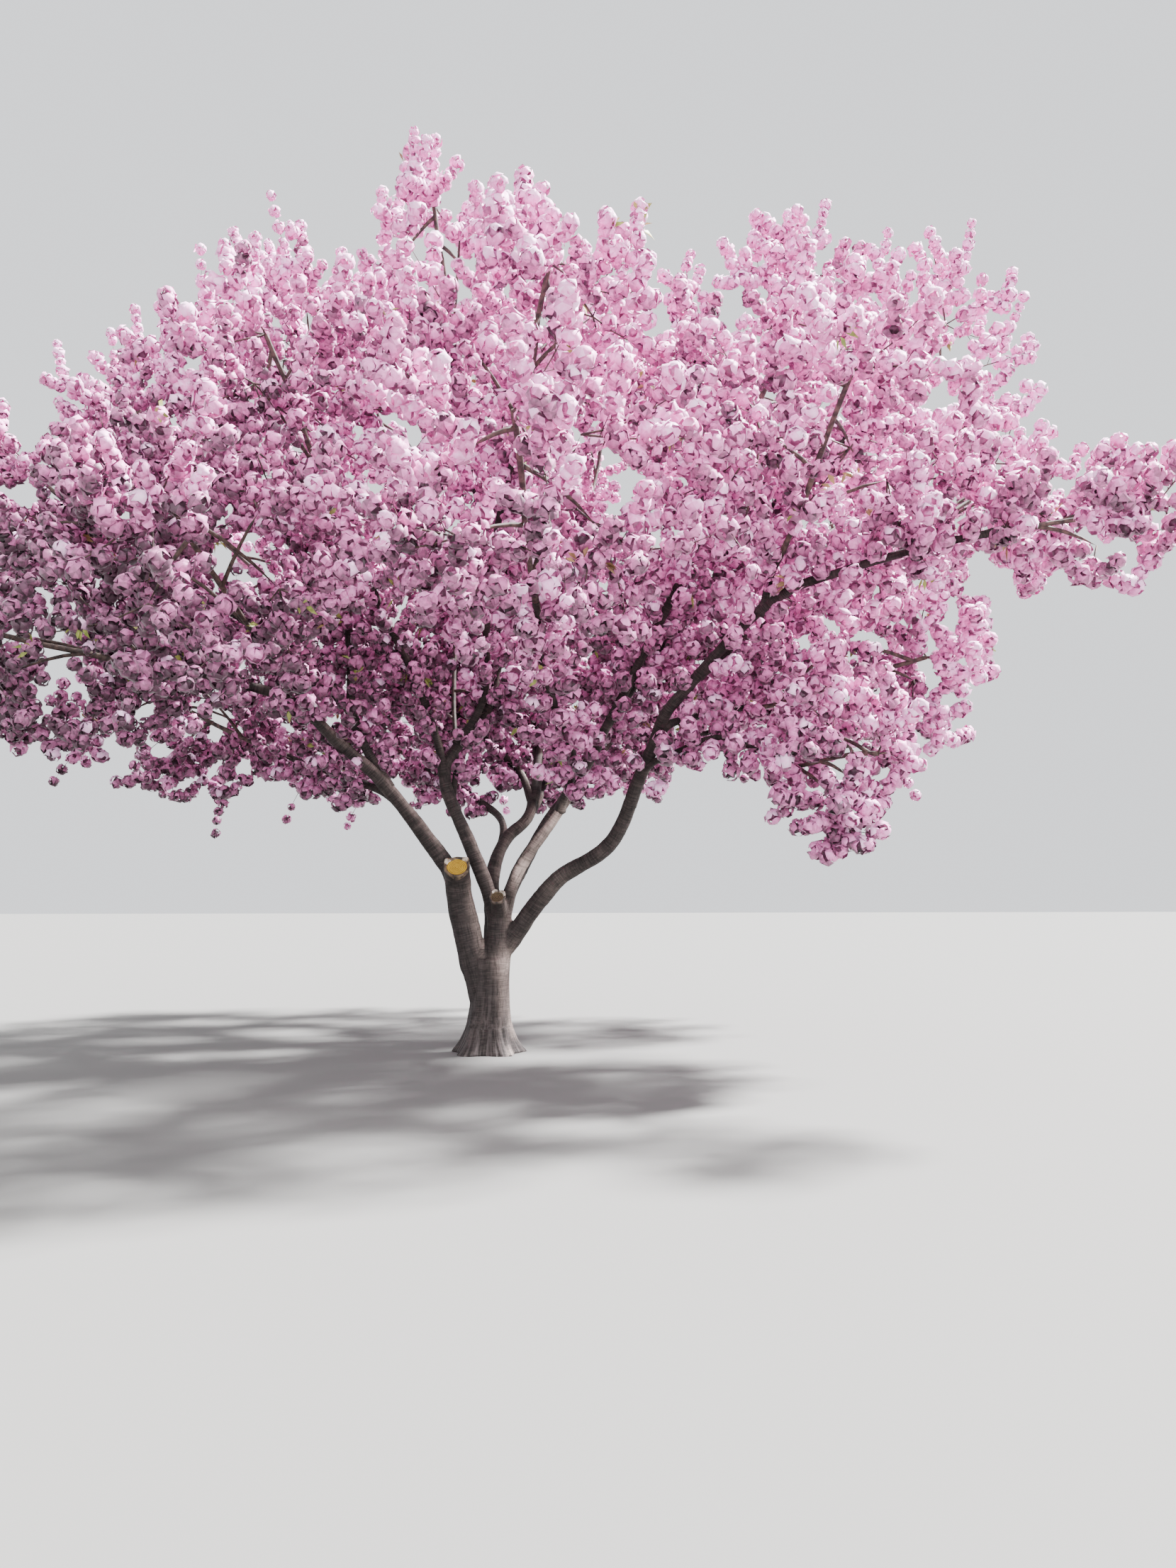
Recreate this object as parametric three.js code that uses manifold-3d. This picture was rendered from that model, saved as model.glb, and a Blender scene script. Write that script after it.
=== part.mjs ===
// A double-flowered Japanese cherry in full bloom, as a whole tree in millimetres with +Z up.
// The origin is the middle of the flat cut under the trunk, at ground level. +X is to the right of the
// view in which the tree was drawn, and +Y runs away from the viewer.
//
// A short bole with root flare forks low into two stems. Each bough is one tapering limb that leaves a
// stem or another bough and ends where it enters a mass of blossom. Each mass is one solid: a stem that
// carries on from its bough, twigs that branch from it by a seeded rule, and sprays of blossom on the twigs.

import * as THREE from "three";
import { mergeVertices } from "three/addons/utils/BufferGeometryUtils.js";
import Module from "manifold-3d";

const wasm = await Module();
wasm.setup();

const up = new THREE.Vector3(0, 0, 1);
const gap = 0.3; // left between two nodes that meet
const finishes = {
  bark: { color: 0x4d3a35, roughness: 0.9, metalness: 0, flatShading: true },
  blossom: { color: 0xdb8fb4, roughness: 0.8, metalness: 0, flatShading: true },
};

// Driving sizes of the bole, its two stems and the stub of a bough that was sawn off.
const bole = {
  height: 900,
  waist: 178,
  flare: 165,
  flareFade: 190,
  lean: 20,
  roots: 5,
  ridge: 0.16,
  crowd: 1.5, // over 1, so that the rings of its mesh stand closer near the ground
};
const stems = {
  left: {
    route: [[0, 0, 350], [-120, 0, 820], [-215, 0, 1200], [-285, -10, 1520], [-305, -70, 1690], [-310, -165, 1775]],
    foot: 145,
    tip: 120,
  },
  right: { route: [[30, 0, 350], [75, 5, 820], [95, 0, 1150], [100, 0, 1400]], foot: 160, tip: 112 },
  stub: { route: [[100, -20, 1290], [90, -110, 1400], [75, -215, 1490]], foot: 84, tip: 70 },
};
const limbs = {
  arm: 330, // how much of a bough belongs to the trunk, unless the bough says otherwise
  taper: 0.8, // under 1, so that a limb thins soonest near its foot
  stout: 70, // a bough with a thicker foot than this has more sides
  step: 730, // the length of limb between two rings of its mesh
};

// The masses of blossom, each by the middle of the space that it keeps to: the azimuth about the trunk in
// degrees from +X towards +Y, how far out and how high it is, and its half width and half height. A slim
// mass has thinner sprays, and a dense one has a core.
const masses = {
  leftLow: { azimuth: 192, reach: 4050, height: 3750, wide: 1500, tall: 1050, dense: true },
  leftBackLow: { azimuth: 152, reach: 3700, height: 3500, wide: 1550, tall: 1000, dense: true },
  leftFront: { azimuth: 232, reach: 3500, height: 4050, wide: 1500, tall: 1100, dense: true },
  left: { azimuth: 180, reach: 4020, height: 5250, wide: 1400, tall: 1050, dense: true },
  leftHigh: { azimuth: 170, reach: 3450, height: 6250, wide: 1200, tall: 950, slim: 0.8 },
  leftShoulder: { azimuth: 163, reach: 2060, height: 7280, wide: 1250, tall: 950, slim: 0.8 },
  leftUpper: { azimuth: 224, reach: 2350, height: 5700, wide: 1450, tall: 1150, dense: true },
  topLeft: { azimuth: 235, reach: 850, height: 7500, wide: 880, tall: 1150, slim: 0.7 },
  top: { azimuth: 60, reach: 850, height: 7380, wide: 1060, tall: 1050, slim: 0.8 },
  heart: { azimuth: 118, reach: 800, height: 3800, wide: 1250, tall: 1000, dense: true },
  frontHigh: { azimuth: 278, reach: 2450, height: 6000, wide: 1400, tall: 1100, dense: true },
  rightUpper: { azimuth: 322, reach: 3000, height: 5900, wide: 1450, tall: 1100, dense: true },
  front: { azimuth: 273, reach: 3950, height: 4250, wide: 1500, tall: 1100, dense: true },
  rightHigh: { azimuth: 4, reach: 4500, height: 7180, wide: 1250, tall: 1200, slim: 0.8 },
  rightTip: { azimuth: 323, reach: 5700, height: 4350, wide: 900, tall: 500, slim: 0.9 },
  frontRight: { azimuth: 309, reach: 4000, height: 4950, wide: 1500, tall: 1000, dense: true },
  rightDroop: { azimuth: 321, reach: 3650, height: 2650, wide: 680, tall: 850, slim: 0.95 },
  rightLow: { azimuth: 340, reach: 3550, height: 3500, wide: 1350, tall: 1100, dense: true },
  right: { azimuth: 356, reach: 4750, height: 5430, wide: 1350, tall: 1080, dense: true },
  rightBack: { azimuth: 34, reach: 5000, height: 5950, wide: 1600, tall: 1250, dense: true },
  rightBackLow: { azimuth: 33, reach: 4400, height: 3850, wide: 1600, tall: 1050, dense: true },
  topRight: { azimuth: 8, reach: 3000, height: 7600, wide: 1200, tall: 1100, slim: 0.8 },
  backHigh: { azimuth: 62, reach: 2900, height: 7150, wide: 1450, tall: 1100, slim: 0.9 },
  back: { azimuth: 82, reach: 4300, height: 5700, wide: 1600, tall: 1250, dense: true },
  backLow: { azimuth: 72, reach: 4000, height: 3650, wide: 1600, tall: 1050, dense: true },
  backLeftLow: { azimuth: 112, reach: 3700, height: 3600, wide: 1600, tall: 1050, dense: true },
  leftBack: { azimuth: 137, reach: 3900, height: 5400, wide: 1600, tall: 1250, dense: true },
  backLeftHigh: { azimuth: 118, reach: 2700, height: 6950, wide: 1450, tall: 1100, slim: 0.9 },
  heartRight: { azimuth: 17, reach: 1950, height: 4100, wide: 1200, tall: 950, dense: true },
};

// The boughs, one for each mass and named after it. A bough with a route leaves the trunk by those points.
// The others leave another bough at a share of its course, and bow up by a share of their own length.
const boughs = {
  leftLow: {
    route: [[-255, 0, 1380], [-370, -25, 1700], [-580, -80, 2030], [-920, -200, 2480], [-1350, -380, 2870],
      [-1900, -580, 3330]],
    arm: 640,
    foot: 104,
    tip: 38,
  },
  top: {
    route: [[95, 0, 1180], [0, 20, 1480], [-180, 30, 1980], [-440, 60, 2600], [-360, 100, 2930],
      [0, 220, 3480], [200, 300, 5000]],
    foot: 88,
    tip: 34,
  },
  rightUpper: {
    route: [[115, 0, 1250], [215, -35, 1570], [400, -100, 1950], [680, -170, 2330], [1050, -420, 3000],
      [1550, -950, 4000]],
    foot: 76,
    tip: 34,
  },
  rightTip: {
    route: [[160, 0, 1000], [630, -250, 1640], [1160, -520, 2030], [1450, -1000, 2800], [1680, -1480, 3270],
      [2430, -2400, 3990], [3690, -3300, 4230]],
    foot: 98,
    tip: 20,
  },
  back: {
    route: [[20, 60, 900], [25, 240, 1330], [30, 390, 1720], [170, 540, 2060], [420, 820, 2380],
      [520, 1500, 3050], [480, 2500, 4300]],
    foot: 92,
    tip: 36,
  },
  rightBack: {
    route: [[120, 40, 1150], [240, 190, 1600], [620, 560, 2300], [1400, 1100, 3300], [2400, 1700, 4500]],
    foot: 78,
    tip: 34,
  },
  leftBackLow: { from: "leftLow", at: 0.42, bow: 0.02, foot: 46, tip: 28 },
  leftShoulder: { from: "leftLow", at: 0.52, bow: 0.05, foot: 52, tip: 28 },
  leftFront: { from: "leftLow", at: 0.72, bow: 0.04, foot: 40, tip: 26 },
  left: { from: "leftShoulder", at: 0.3, bow: 0.06, foot: 40, tip: 26 },
  leftHigh: { from: "leftShoulder", at: 0.52, bow: 0.05, foot: 36, tip: 24 },
  leftUpper: { from: "top", at: 0.46, bow: 0.05, foot: 48, tip: 28 },
  heart: { from: "top", at: 0.36, bow: 0.03, foot: 38, tip: 26 },
  frontHigh: { from: "top", at: 0.6, bow: 0.04, foot: 46, tip: 26 },
  topLeft: { from: "top", at: 0.75, bow: 0.02, foot: 36, tip: 26 },
  front: { from: "rightUpper", at: 0.5, bow: 0.05, foot: 48, tip: 28 },
  rightHigh: { from: "rightUpper", at: 0.7, bow: 0.05, foot: 46, tip: 26 },
  frontRight: { from: "rightTip", at: 0.68, bow: 0.04, foot: 44, tip: 26 },
  rightDroop: { from: "rightTip", at: 0.4, bow: 0.16, foot: 36, tip: 20 },
  rightLow: { from: "rightTip", at: 0.48, bow: 0.06, foot: 44, tip: 26 },
  right: { from: "rightTip", at: 0.6, bow: 0.06, foot: 46, tip: 26 },
  heartRight: { from: "rightBack", at: 0.36, bow: 0.03, foot: 40, tip: 26 },
  rightBackLow: { from: "rightBack", at: 0.45, bow: 0.04, foot: 46, tip: 28 },
  topRight: { from: "rightBack", at: 0.56, bow: 0.03, foot: 44, tip: 26 },
  backHigh: { from: "back", at: 0.68, bow: 0.04, foot: 46, tip: 28 },
  backLow: { from: "back", at: 0.5, bow: 0.05, foot: 46, tip: 28 },
  backLeftLow: { from: "back", at: 0.4, bow: 0.05, foot: 46, tip: 28 },
  leftBack: { from: "back", at: 0.6, bow: 0.05, foot: 46, tip: 28 },
  backLeftHigh: { from: "leftBack", at: 0.4, bow: 0.03, foot: 36, tip: 26 },
};

// How a bough leaves its parent and how a mass grows. Shares are of the half width and half height of the
// mass's space unless they say otherwise.
const growth = {
  seed: 1871,
  clear: 14, // the least way to the plane that parts two masses, and to a limb
  room: 60, // how far inside those planes the stem, the twigs' tips and the bough's tip keep
  leave: 0.6, // how far a bough turns from its parent's course to its own aim as it leaves
  leaveReach: 0.2, // the share of its length over which that turn is made
  bowAt: 0.6, // the share of its length where a bough bows up most
  entry: 0.82, // how far out a bough's tip enters
  crest: 0.5, // how far past its middle the stem runs
  straight: 0.25, // how far the stem keeps its bough's course
  twigs: 4,
  twigFrom: 0.3, // the first and the last share of the stem where a twig leaves it
  twigTo: 0.9,
  twigRise: 0.06, // how far a twig bows up, as a share of its length
  twigFoot: 20,
  twigTip: 10,
  fork: 0.42, // how far out a twig forks into sprays
  sprays: 8,
  spraysSlim: 7,
  tries: 70,
  tipLeast: 0.84, // how far out a spray's tip stands
  tipMost: 1.02,
  shorter: 0.8, // the length that a spray has if it doesn't fit at its full length
  edge: 1.15, // how far out any part may stand
  root: 0.08, // how far behind its fork a spray is rooted, as a share of its length
  sprayWide: 0.27, // half the thickness of a spray
  sprayVaries: 0.15,
  blunt: 0.14, // how much thicker a spray is near its tip, and thinner near its root
  ruffle: 0.14, // how far the surface of a spray is out of true
  core: 0.56,
};

// Even random numbers from a seed, so that the same seed always grows the same tree.
function randomFrom(seed) {
  let state = seed >>> 0;
  return () => {
    state = (state + 0x6d2b79f5) >>> 0;
    let mixed = Math.imul(state ^ (state >>> 15), state | 1);
    mixed ^= mixed + Math.imul(mixed ^ (mixed >>> 7), mixed | 61);
    return ((mixed ^ (mixed >>> 14)) >>> 0) / 4294967296;
  };
}

function point([x, y, z]) {
  return new THREE.Vector3(x, y, z);
}

function smoothRoute(points) {
  return new THREE.CatmullRomCurve3(points, false, "catmullrom", 0.5);
}

// A closed geometry with its shared vertices merged.
function closed(geometry) {
  const bare = new THREE.BufferGeometry();
  bare.setAttribute("position", geometry.getAttribute("position").clone());
  bare.setIndex(geometry.getIndex());
  return mergeVertices(bare, 1e-3);
}

// A merged geometry as a solid that can be joined and cut.
function solidOf(geometry) {
  return new wasm.Manifold(
    new wasm.Mesh({
      numProp: 3,
      vertProperties: new Float32Array(geometry.attributes.position.array),
      triVerts: new Uint32Array(geometry.index.array),
    }),
  );
}

// The biggest body of a solid, with what it sealed inside filled and loose scraps dropped.
function biggest(solid) {
  return solid.decompose().sort((a, b) => b.volume() - a.volume())[0];
}

function meshOf(solid, name, finish) {
  const made = solid.getMesh();
  const geometry = new THREE.BufferGeometry();
  geometry.setAttribute("position", new THREE.BufferAttribute(made.vertProperties.slice(), 3));
  geometry.setIndex(new THREE.BufferAttribute(made.triVerts.slice(), 1));
  geometry.computeVertexNormals();
  const mesh = new THREE.Mesh(geometry, new THREE.MeshStandardMaterial(finish));
  mesh.name = name;
  return mesh;
}

// A cylinder bent along a route from share t0 to t1 of it, with radiusAt(t) as its radius and flat ends.
// Its sides follow the nearest of the route's frames, which are fine enough not to twist it.
const frameSteps = 40;

function limbSolid(route, t0, t1, sides, steps, radiusAt) {
  const geometry = new THREE.CylinderGeometry(1, 1, 1, sides, steps);
  const frames = route.computeFrenetFrames(frameSteps, false);
  const position = geometry.getAttribute("position");
  for (let i = 0; i < position.count; i += 1) {
    const t = t0 + (t1 - t0) * (0.5 - position.getY(i));
    const tangent = route.getTangent(t);
    const across = frames.normals[Math.round(t * frameSteps)].clone();
    across.addScaledVector(tangent, -across.dot(tangent)).normalize();
    const along = new THREE.Vector3().crossVectors(tangent, across);
    const place = route.getPoint(t);
    place.addScaledVector(across, position.getX(i) * radiusAt(t));
    place.addScaledVector(along, position.getZ(i) * radiusAt(t));
    position.setXYZ(i, place.x, place.y, place.z);
  }
  return solidOf(closed(geometry));
}

function taper(foot, tip) {
  return (t) => THREE.MathUtils.lerp(foot, tip, t ** limbs.taper);
}

// The bole: its foot flares out into root ridges that fade out upwards.
function boleSolid() {
  const geometry = new THREE.CylinderGeometry(1, 1, 1, 20, 6);
  const position = geometry.getAttribute("position");
  for (let i = 0; i < position.count; i += 1) {
    const share = (position.getY(i) + 0.5) ** bole.crowd;
    const height = share * bole.height;
    const angle = Math.atan2(position.getZ(i), position.getX(i));
    const ridge = bole.ridge * Math.exp(-height / (2 * bole.flareFade)) * Math.cos(bole.roots * angle + 1);
    const round = (bole.waist + bole.flare * Math.exp(-height / bole.flareFade)) * (1 + ridge);
    const radius = round * Math.hypot(position.getX(i), position.getZ(i));
    position.setXYZ(i, bole.lean * share + radius * Math.cos(angle), -radius * Math.sin(angle), height);
  }
  return solidOf(closed(geometry));
}

function stemSolid(stem, sides, steps) {
  return limbSolid(smoothRoute(stem.route.map(point)), 0, 1, sides, steps, taper(stem.foot, stem.tip));
}

// The radius of an ellipsoid with the half sizes of a space, in one direction.
function radiusTowards(space, direction) {
  return 1 / direction.clone().divide(space.half).length();
}

// The space that each mass keeps to, and the planes that part it from its neighbours.
const spaces = {};
for (const [name, mass] of Object.entries(masses)) {
  const azimuth = THREE.MathUtils.degToRad(mass.azimuth);
  const middle = point([mass.reach * Math.cos(azimuth), mass.reach * Math.sin(azimuth), mass.height]);
  spaces[name] = { middle, half: point([mass.wide, mass.wide, mass.tall]), planes: [] };
}
for (const own of Object.values(spaces)) {
  for (const other of Object.values(spaces)) {
    const way = other.middle.clone().sub(own.middle);
    const apart = way.length();
    if (apart > 0) {
      way.normalize();
      const share = radiusTowards(own, way) / (radiusTowards(own, way) + radiusTowards(other, way));
      own.planes.push({ way, reach: apart * share - growth.clear });
    }
  }
}

function isInside(space, place) {
  const out = place.clone().sub(space.middle);
  if (out.clone().divide(space.half).length() > growth.edge) {
    return false;
  }
  return space.planes.every((plane) => plane.way.dot(out) < plane.reach);
}

// The point a share of the way out in a direction, drawn in as far as the planes ask.
function pointOut(space, direction, share) {
  const out = direction.clone().normalize().multiply(space.half).multiplyScalar(share);
  let kept = 1;
  for (const plane of space.planes) {
    const towards = plane.way.dot(out);
    if (towards > 0) {
      kept = Math.min(kept, Math.max(0, plane.reach - growth.room) / towards);
    }
  }
  return out.multiplyScalar(kept).add(space.middle);
}

// Where a bough that comes from a point enters its mass.
function entryPoint(space, from) {
  return pointOut(space, from.clone().sub(space.middle).divide(space.half), growth.entry);
}

// A side bough leaves its parent partly along it, and bows on its way to its mass.
function sideRoute(parent, bough, space) {
  const start = parent.getPoint(bough.at);
  const goal = entryPoint(space, start);
  const span = goal.distanceTo(start);
  const aim = goal.clone().sub(start).normalize();
  const leave = parent.getTangent(bough.at).lerp(aim, growth.leave).normalize();
  const first = start.clone().addScaledVector(leave, span * growth.leaveReach);
  const second = start.clone().lerp(goal, growth.bowAt).addScaledVector(up, span * bough.bow);
  return smoothRoute([start, first, second, goal]);
}

const routes = {};
for (const [name, bough] of Object.entries(boughs)) {
  if (bough.route) {
    const points = bough.route.map(point);
    points.push(entryPoint(spaces[name], points[points.length - 1]));
    routes[name] = smoothRoute(points);
  } else {
    routes[name] = sideRoute(routes[bough.from], bough, spaces[name]);
  }
}

// A bough as a solid, made thicker by extra. One that leaves the trunk starts where its arm ends.
function boughSolid(name, extra) {
  const { route, arm = limbs.arm, foot, tip } = boughs[name];
  const start = route ? routes[name].getUtoTmapping(0, arm + gap) : 0;
  const sides = foot > limbs.stout ? 7 : 5;
  const steps = Math.max(4, Math.round(routes[name].getLength() / limbs.step));
  const radiusAt = taper(foot, tip);
  return limbSolid(routes[name], start, 1, sides, steps, (t) => radiusAt(t) + extra);
}

function armSolid(name) {
  const { arm = limbs.arm, foot, tip } = boughs[name];
  return limbSolid(routes[name], 0, routes[name].getUtoTmapping(0, arm), 7, 2, taper(foot, tip));
}

const tree = new THREE.Group();
let trunk = boleSolid().add(stemSolid(stems.left, 10, 6)).add(stemSolid(stems.right, 10, 5));
trunk = trunk.add(stemSolid(stems.stub, 8, 2));
for (const name of Object.keys(boughs).filter((key) => boughs[key].route)) {
  trunk = trunk.add(armSolid(name));
}
trunk = biggest(trunk);
tree.add(meshOf(trunk, "trunk", finishes.bark));

const wood = [trunk];
for (const [name, bough] of Object.entries(boughs)) {
  let solid = boughSolid(name, 0);
  if (bough.from) {
    solid = biggest(solid.subtract(boughSolid(bough.from, 2 * gap)));
  }
  tree.add(meshOf(solid, `bough_${name}`, finishes.bark));
  wood.push(boughSolid(name, growth.clear));
}

// A spray of blossom with its root at the origin and its tip at 1 on the Z axis.
const poleTurn = Math.atan(2 / (1 + Math.sqrt(5)));
const sprayForm = closed(new THREE.IcosahedronGeometry(1, 0).rotateX(poleTurn));

function sprayGeometry(root, tip, radius, random) {
  const geometry = sprayForm.clone();
  const length = tip.distanceTo(root);
  const turn = new THREE.Quaternion().setFromUnitVectors(up, tip.clone().sub(root).normalize());
  const position = geometry.getAttribute("position");
  for (let i = 0; i < position.count; i += 1) {
    const place = new THREE.Vector3().fromBufferAttribute(position, i);
    const out = radius * (1 + growth.blunt * place.z) * (1 + growth.ruffle * (2 * random() - 1));
    place.set(place.x * out, place.y * out, (place.z * 0.5 + 0.5) * length);
    place.applyQuaternion(turn).add(root);
    position.setXYZ(i, place.x, place.y, place.z);
  }
  return geometry;
}

function overlapBox(a, b) {
  return [0, 1, 2].every((axis) => a.min[axis] < b.max[axis] && b.min[axis] < a.max[axis]);
}

function touchesLimb(solid) {
  const box = solid.boundingBox();
  return wood.some((limb) => overlapBox(box, limb.boundingBox()) && !solid.intersect(limb).isEmpty());
}

function verticesInside(space, geometry) {
  const position = geometry.getAttribute("position");
  for (let i = 0; i < position.count; i += 1) {
    if (!isInside(space, new THREE.Vector3().fromBufferAttribute(position, i))) {
      return false;
    }
  }
  return true;
}

// Directions spread evenly over the sphere, however many are taken.
function spreadDirections(random) {
  const first = random();
  const second = random();
  return (index) => {
    const z = 1 - 2 * ((first + 0.7548776662 * index) % 1);
    const angle = 2 * Math.PI * ((second + 0.569840291 * index) % 1);
    const round = Math.sqrt(1 - z * z);
    return new THREE.Vector3(round * Math.cos(angle), round * Math.sin(angle), z);
  };
}

// A mass of blossom: a stem carries on from the bough's tip, twigs leave it in turn and fork into sprays.
function massSolid(name, seed) {
  const random = randomFrom(seed);
  const space = spaces[name];
  const { slim = 1, dense = false } = masses[name];
  const bough = routes[name];
  const inward = bough.getTangent(1);
  const start = bough.getPoint(1).addScaledVector(inward, gap);
  const first = start.clone().addScaledVector(inward, growth.straight * space.half.x);
  const past = space.middle.clone().sub(start).divide(space.half);
  const crest = pointOut(space, past, growth.crest);
  const stem = smoothRoute([start, first, space.middle.clone().lerp(crest, growth.straight), crest]);
  let solid = limbSolid(stem, 0, 1, 4, 3, taper(boughs[name].tip, growth.twigFoot));
  if (dense) {
    const tall = growth.core * space.half.z;
    const low = space.middle.clone().addScaledVector(up, -tall);
    const high = space.middle.clone().addScaledVector(up, tall);
    const core = sprayGeometry(low, high, growth.core * space.half.x, random);
    if (verticesInside(space, core) && !touchesLimb(solidOf(core))) {
      solid = solid.add(solidOf(core));
    }
  }
  const towards = spreadDirections(random);
  const forks = [crest];
  for (let i = 0; i < growth.twigs; i += 1) {
    const tip = pointOut(space, towards(i), growth.fork);
    const at = THREE.MathUtils.lerp(growth.twigFrom, growth.twigTo, i / (growth.twigs - 1));
    const foot = stem.getPoint(at);
    const bend = foot.clone().lerp(tip, 0.5).addScaledVector(up, growth.twigRise * foot.distanceTo(tip));
    const bowed = smoothRoute([foot, bend, tip]);
    const twig = limbSolid(bowed, 0, 1, 3, 1, taper(growth.twigFoot, growth.twigTip));
    if (!touchesLimb(twig)) {
      solid = solid.add(twig);
      forks.push(tip);
    }
  }
  let grown = 0;
  const wanted = dense ? growth.sprays : growth.spraysSlim;
  for (let i = 0; i < growth.tries && grown < wanted; i += 1) {
    const share = THREE.MathUtils.lerp(growth.tipLeast, growth.tipMost, random());
    const goal = towards(i + growth.twigs).multiply(space.half).multiplyScalar(share).add(space.middle);
    const fork = forks.reduce((best, each) => (each.distanceTo(goal) < best.distanceTo(goal) ? each : best));
    const thick = 1 + growth.sprayVaries * (2 * random() - 1);
    const radius = growth.sprayWide * slim * thick * space.half.x;
    const root = fork.clone().lerp(goal, -growth.root);
    for (const length of [1, growth.shorter]) {
      const spray = sprayGeometry(root, root.clone().lerp(goal, length), radius, random);
      if (verticesInside(space, spray) && !touchesLimb(solidOf(spray))) {
        solid = solid.add(solidOf(spray));
        grown += 1;
        break;
      }
    }
  }
  return biggest(solid);
}

let seed = growth.seed;
for (const name of Object.keys(masses)) {
  tree.add(meshOf(massSolid(name, seed), `blossom_${name}`, finishes.blossom));
  seed += 1;
}

export default tree;
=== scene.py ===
import math

import bpy
import numpy as np
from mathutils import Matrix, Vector


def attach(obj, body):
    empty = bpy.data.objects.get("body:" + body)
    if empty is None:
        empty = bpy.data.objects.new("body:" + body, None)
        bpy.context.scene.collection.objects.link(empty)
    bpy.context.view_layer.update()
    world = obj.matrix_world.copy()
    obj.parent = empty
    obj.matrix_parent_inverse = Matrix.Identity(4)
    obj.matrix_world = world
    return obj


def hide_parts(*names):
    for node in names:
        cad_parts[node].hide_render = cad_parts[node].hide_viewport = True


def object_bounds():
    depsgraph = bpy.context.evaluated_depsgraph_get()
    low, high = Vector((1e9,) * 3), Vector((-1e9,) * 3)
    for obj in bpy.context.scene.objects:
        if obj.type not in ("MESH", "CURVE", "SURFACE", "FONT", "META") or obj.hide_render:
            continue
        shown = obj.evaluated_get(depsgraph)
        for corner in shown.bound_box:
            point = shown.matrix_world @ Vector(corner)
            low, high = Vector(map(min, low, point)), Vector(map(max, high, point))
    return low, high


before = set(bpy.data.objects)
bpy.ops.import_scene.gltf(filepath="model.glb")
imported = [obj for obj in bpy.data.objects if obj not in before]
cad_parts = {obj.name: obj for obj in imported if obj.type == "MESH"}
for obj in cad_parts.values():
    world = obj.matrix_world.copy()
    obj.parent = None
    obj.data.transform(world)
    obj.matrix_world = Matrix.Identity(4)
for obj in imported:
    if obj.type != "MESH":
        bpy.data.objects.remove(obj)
cadLow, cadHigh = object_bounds()
mm = 0.001
up = np.array([0.0, 0.0, 1.0])
# A length that counts as none, which keeps divisions safe.
tiny = 1e-12

bole = {
    "height": 900,
    "waist": 178,
    "flare": 165,
    "flareFade": 190,
    "lean": 20,
    "roots": 5,
    "ridge": 0.16,
}
stems = {
    "left": {
        "route": [[0, 0, 350], [-120, 0, 820], [-215, 0, 1200], [-285, -10, 1520], [-305, -70, 1690],
                  [-310, -165, 1775]],
        "foot": 145,
        "tip": 120,
    },
    "right": {"route": [[30, 0, 350], [75, 5, 820], [95, 0, 1150], [100, 0, 1400]], "foot": 160, "tip": 112},
    "stub": {"route": [[100, -20, 1290], [90, -110, 1400], [75, -215, 1490]], "foot": 84, "tip": 70},
}
# The masses of blossom: where the middle of each is, its half sizes, and whether it is a dense one.
massColumns = ("azimuth", "reach", "height", "wide", "tall", "dense")
massRows = {
    "leftLow": (192, 4050, 3750, 1500, 1050, 1),
    "leftBackLow": (152, 3700, 3500, 1550, 1000, 1),
    "leftFront": (232, 3500, 4050, 1500, 1100, 1),
    "left": (180, 4020, 5250, 1400, 1050, 1),
    "leftHigh": (170, 3450, 6250, 1200, 950, 0),
    "leftShoulder": (163, 2060, 7280, 1250, 950, 0),
    "leftUpper": (224, 2350, 5700, 1450, 1150, 1),
    "topLeft": (235, 850, 7500, 880, 1150, 0),
    "top": (60, 850, 7380, 1060, 1050, 0),
    "heart": (118, 800, 3800, 1250, 1000, 1),
    "frontHigh": (278, 2450, 6000, 1400, 1100, 1),
    "rightUpper": (322, 3000, 5900, 1450, 1100, 1),
    "front": (273, 3950, 4250, 1500, 1100, 1),
    "rightHigh": (4, 4500, 7180, 1250, 1200, 0),
    "rightTip": (323, 5700, 4350, 900, 500, 0),
    "frontRight": (309, 4000, 4950, 1500, 1000, 1),
    "rightDroop": (321, 3650, 2650, 680, 850, 0),
    "rightLow": (340, 3550, 3500, 1350, 1100, 1),
    "right": (356, 4750, 5430, 1350, 1080, 1),
    "rightBack": (34, 5000, 5950, 1600, 1250, 1),
    "rightBackLow": (33, 4400, 3850, 1600, 1050, 1),
    "topRight": (8, 3000, 7600, 1200, 1100, 0),
    "backHigh": (62, 2900, 7150, 1450, 1100, 0),
    "back": (82, 4300, 5700, 1600, 1250, 1),
    "backLow": (72, 4000, 3650, 1600, 1050, 1),
    "backLeftLow": (112, 3700, 3600, 1600, 1050, 1),
    "leftBack": (137, 3900, 5400, 1600, 1250, 1),
    "backLeftHigh": (118, 2700, 6950, 1450, 1100, 0),
    "heartRight": (17, 1950, 4100, 1200, 950, 1),
}
masses = {name: dict(zip(massColumns, row)) for name, row in massRows.items()}
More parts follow.
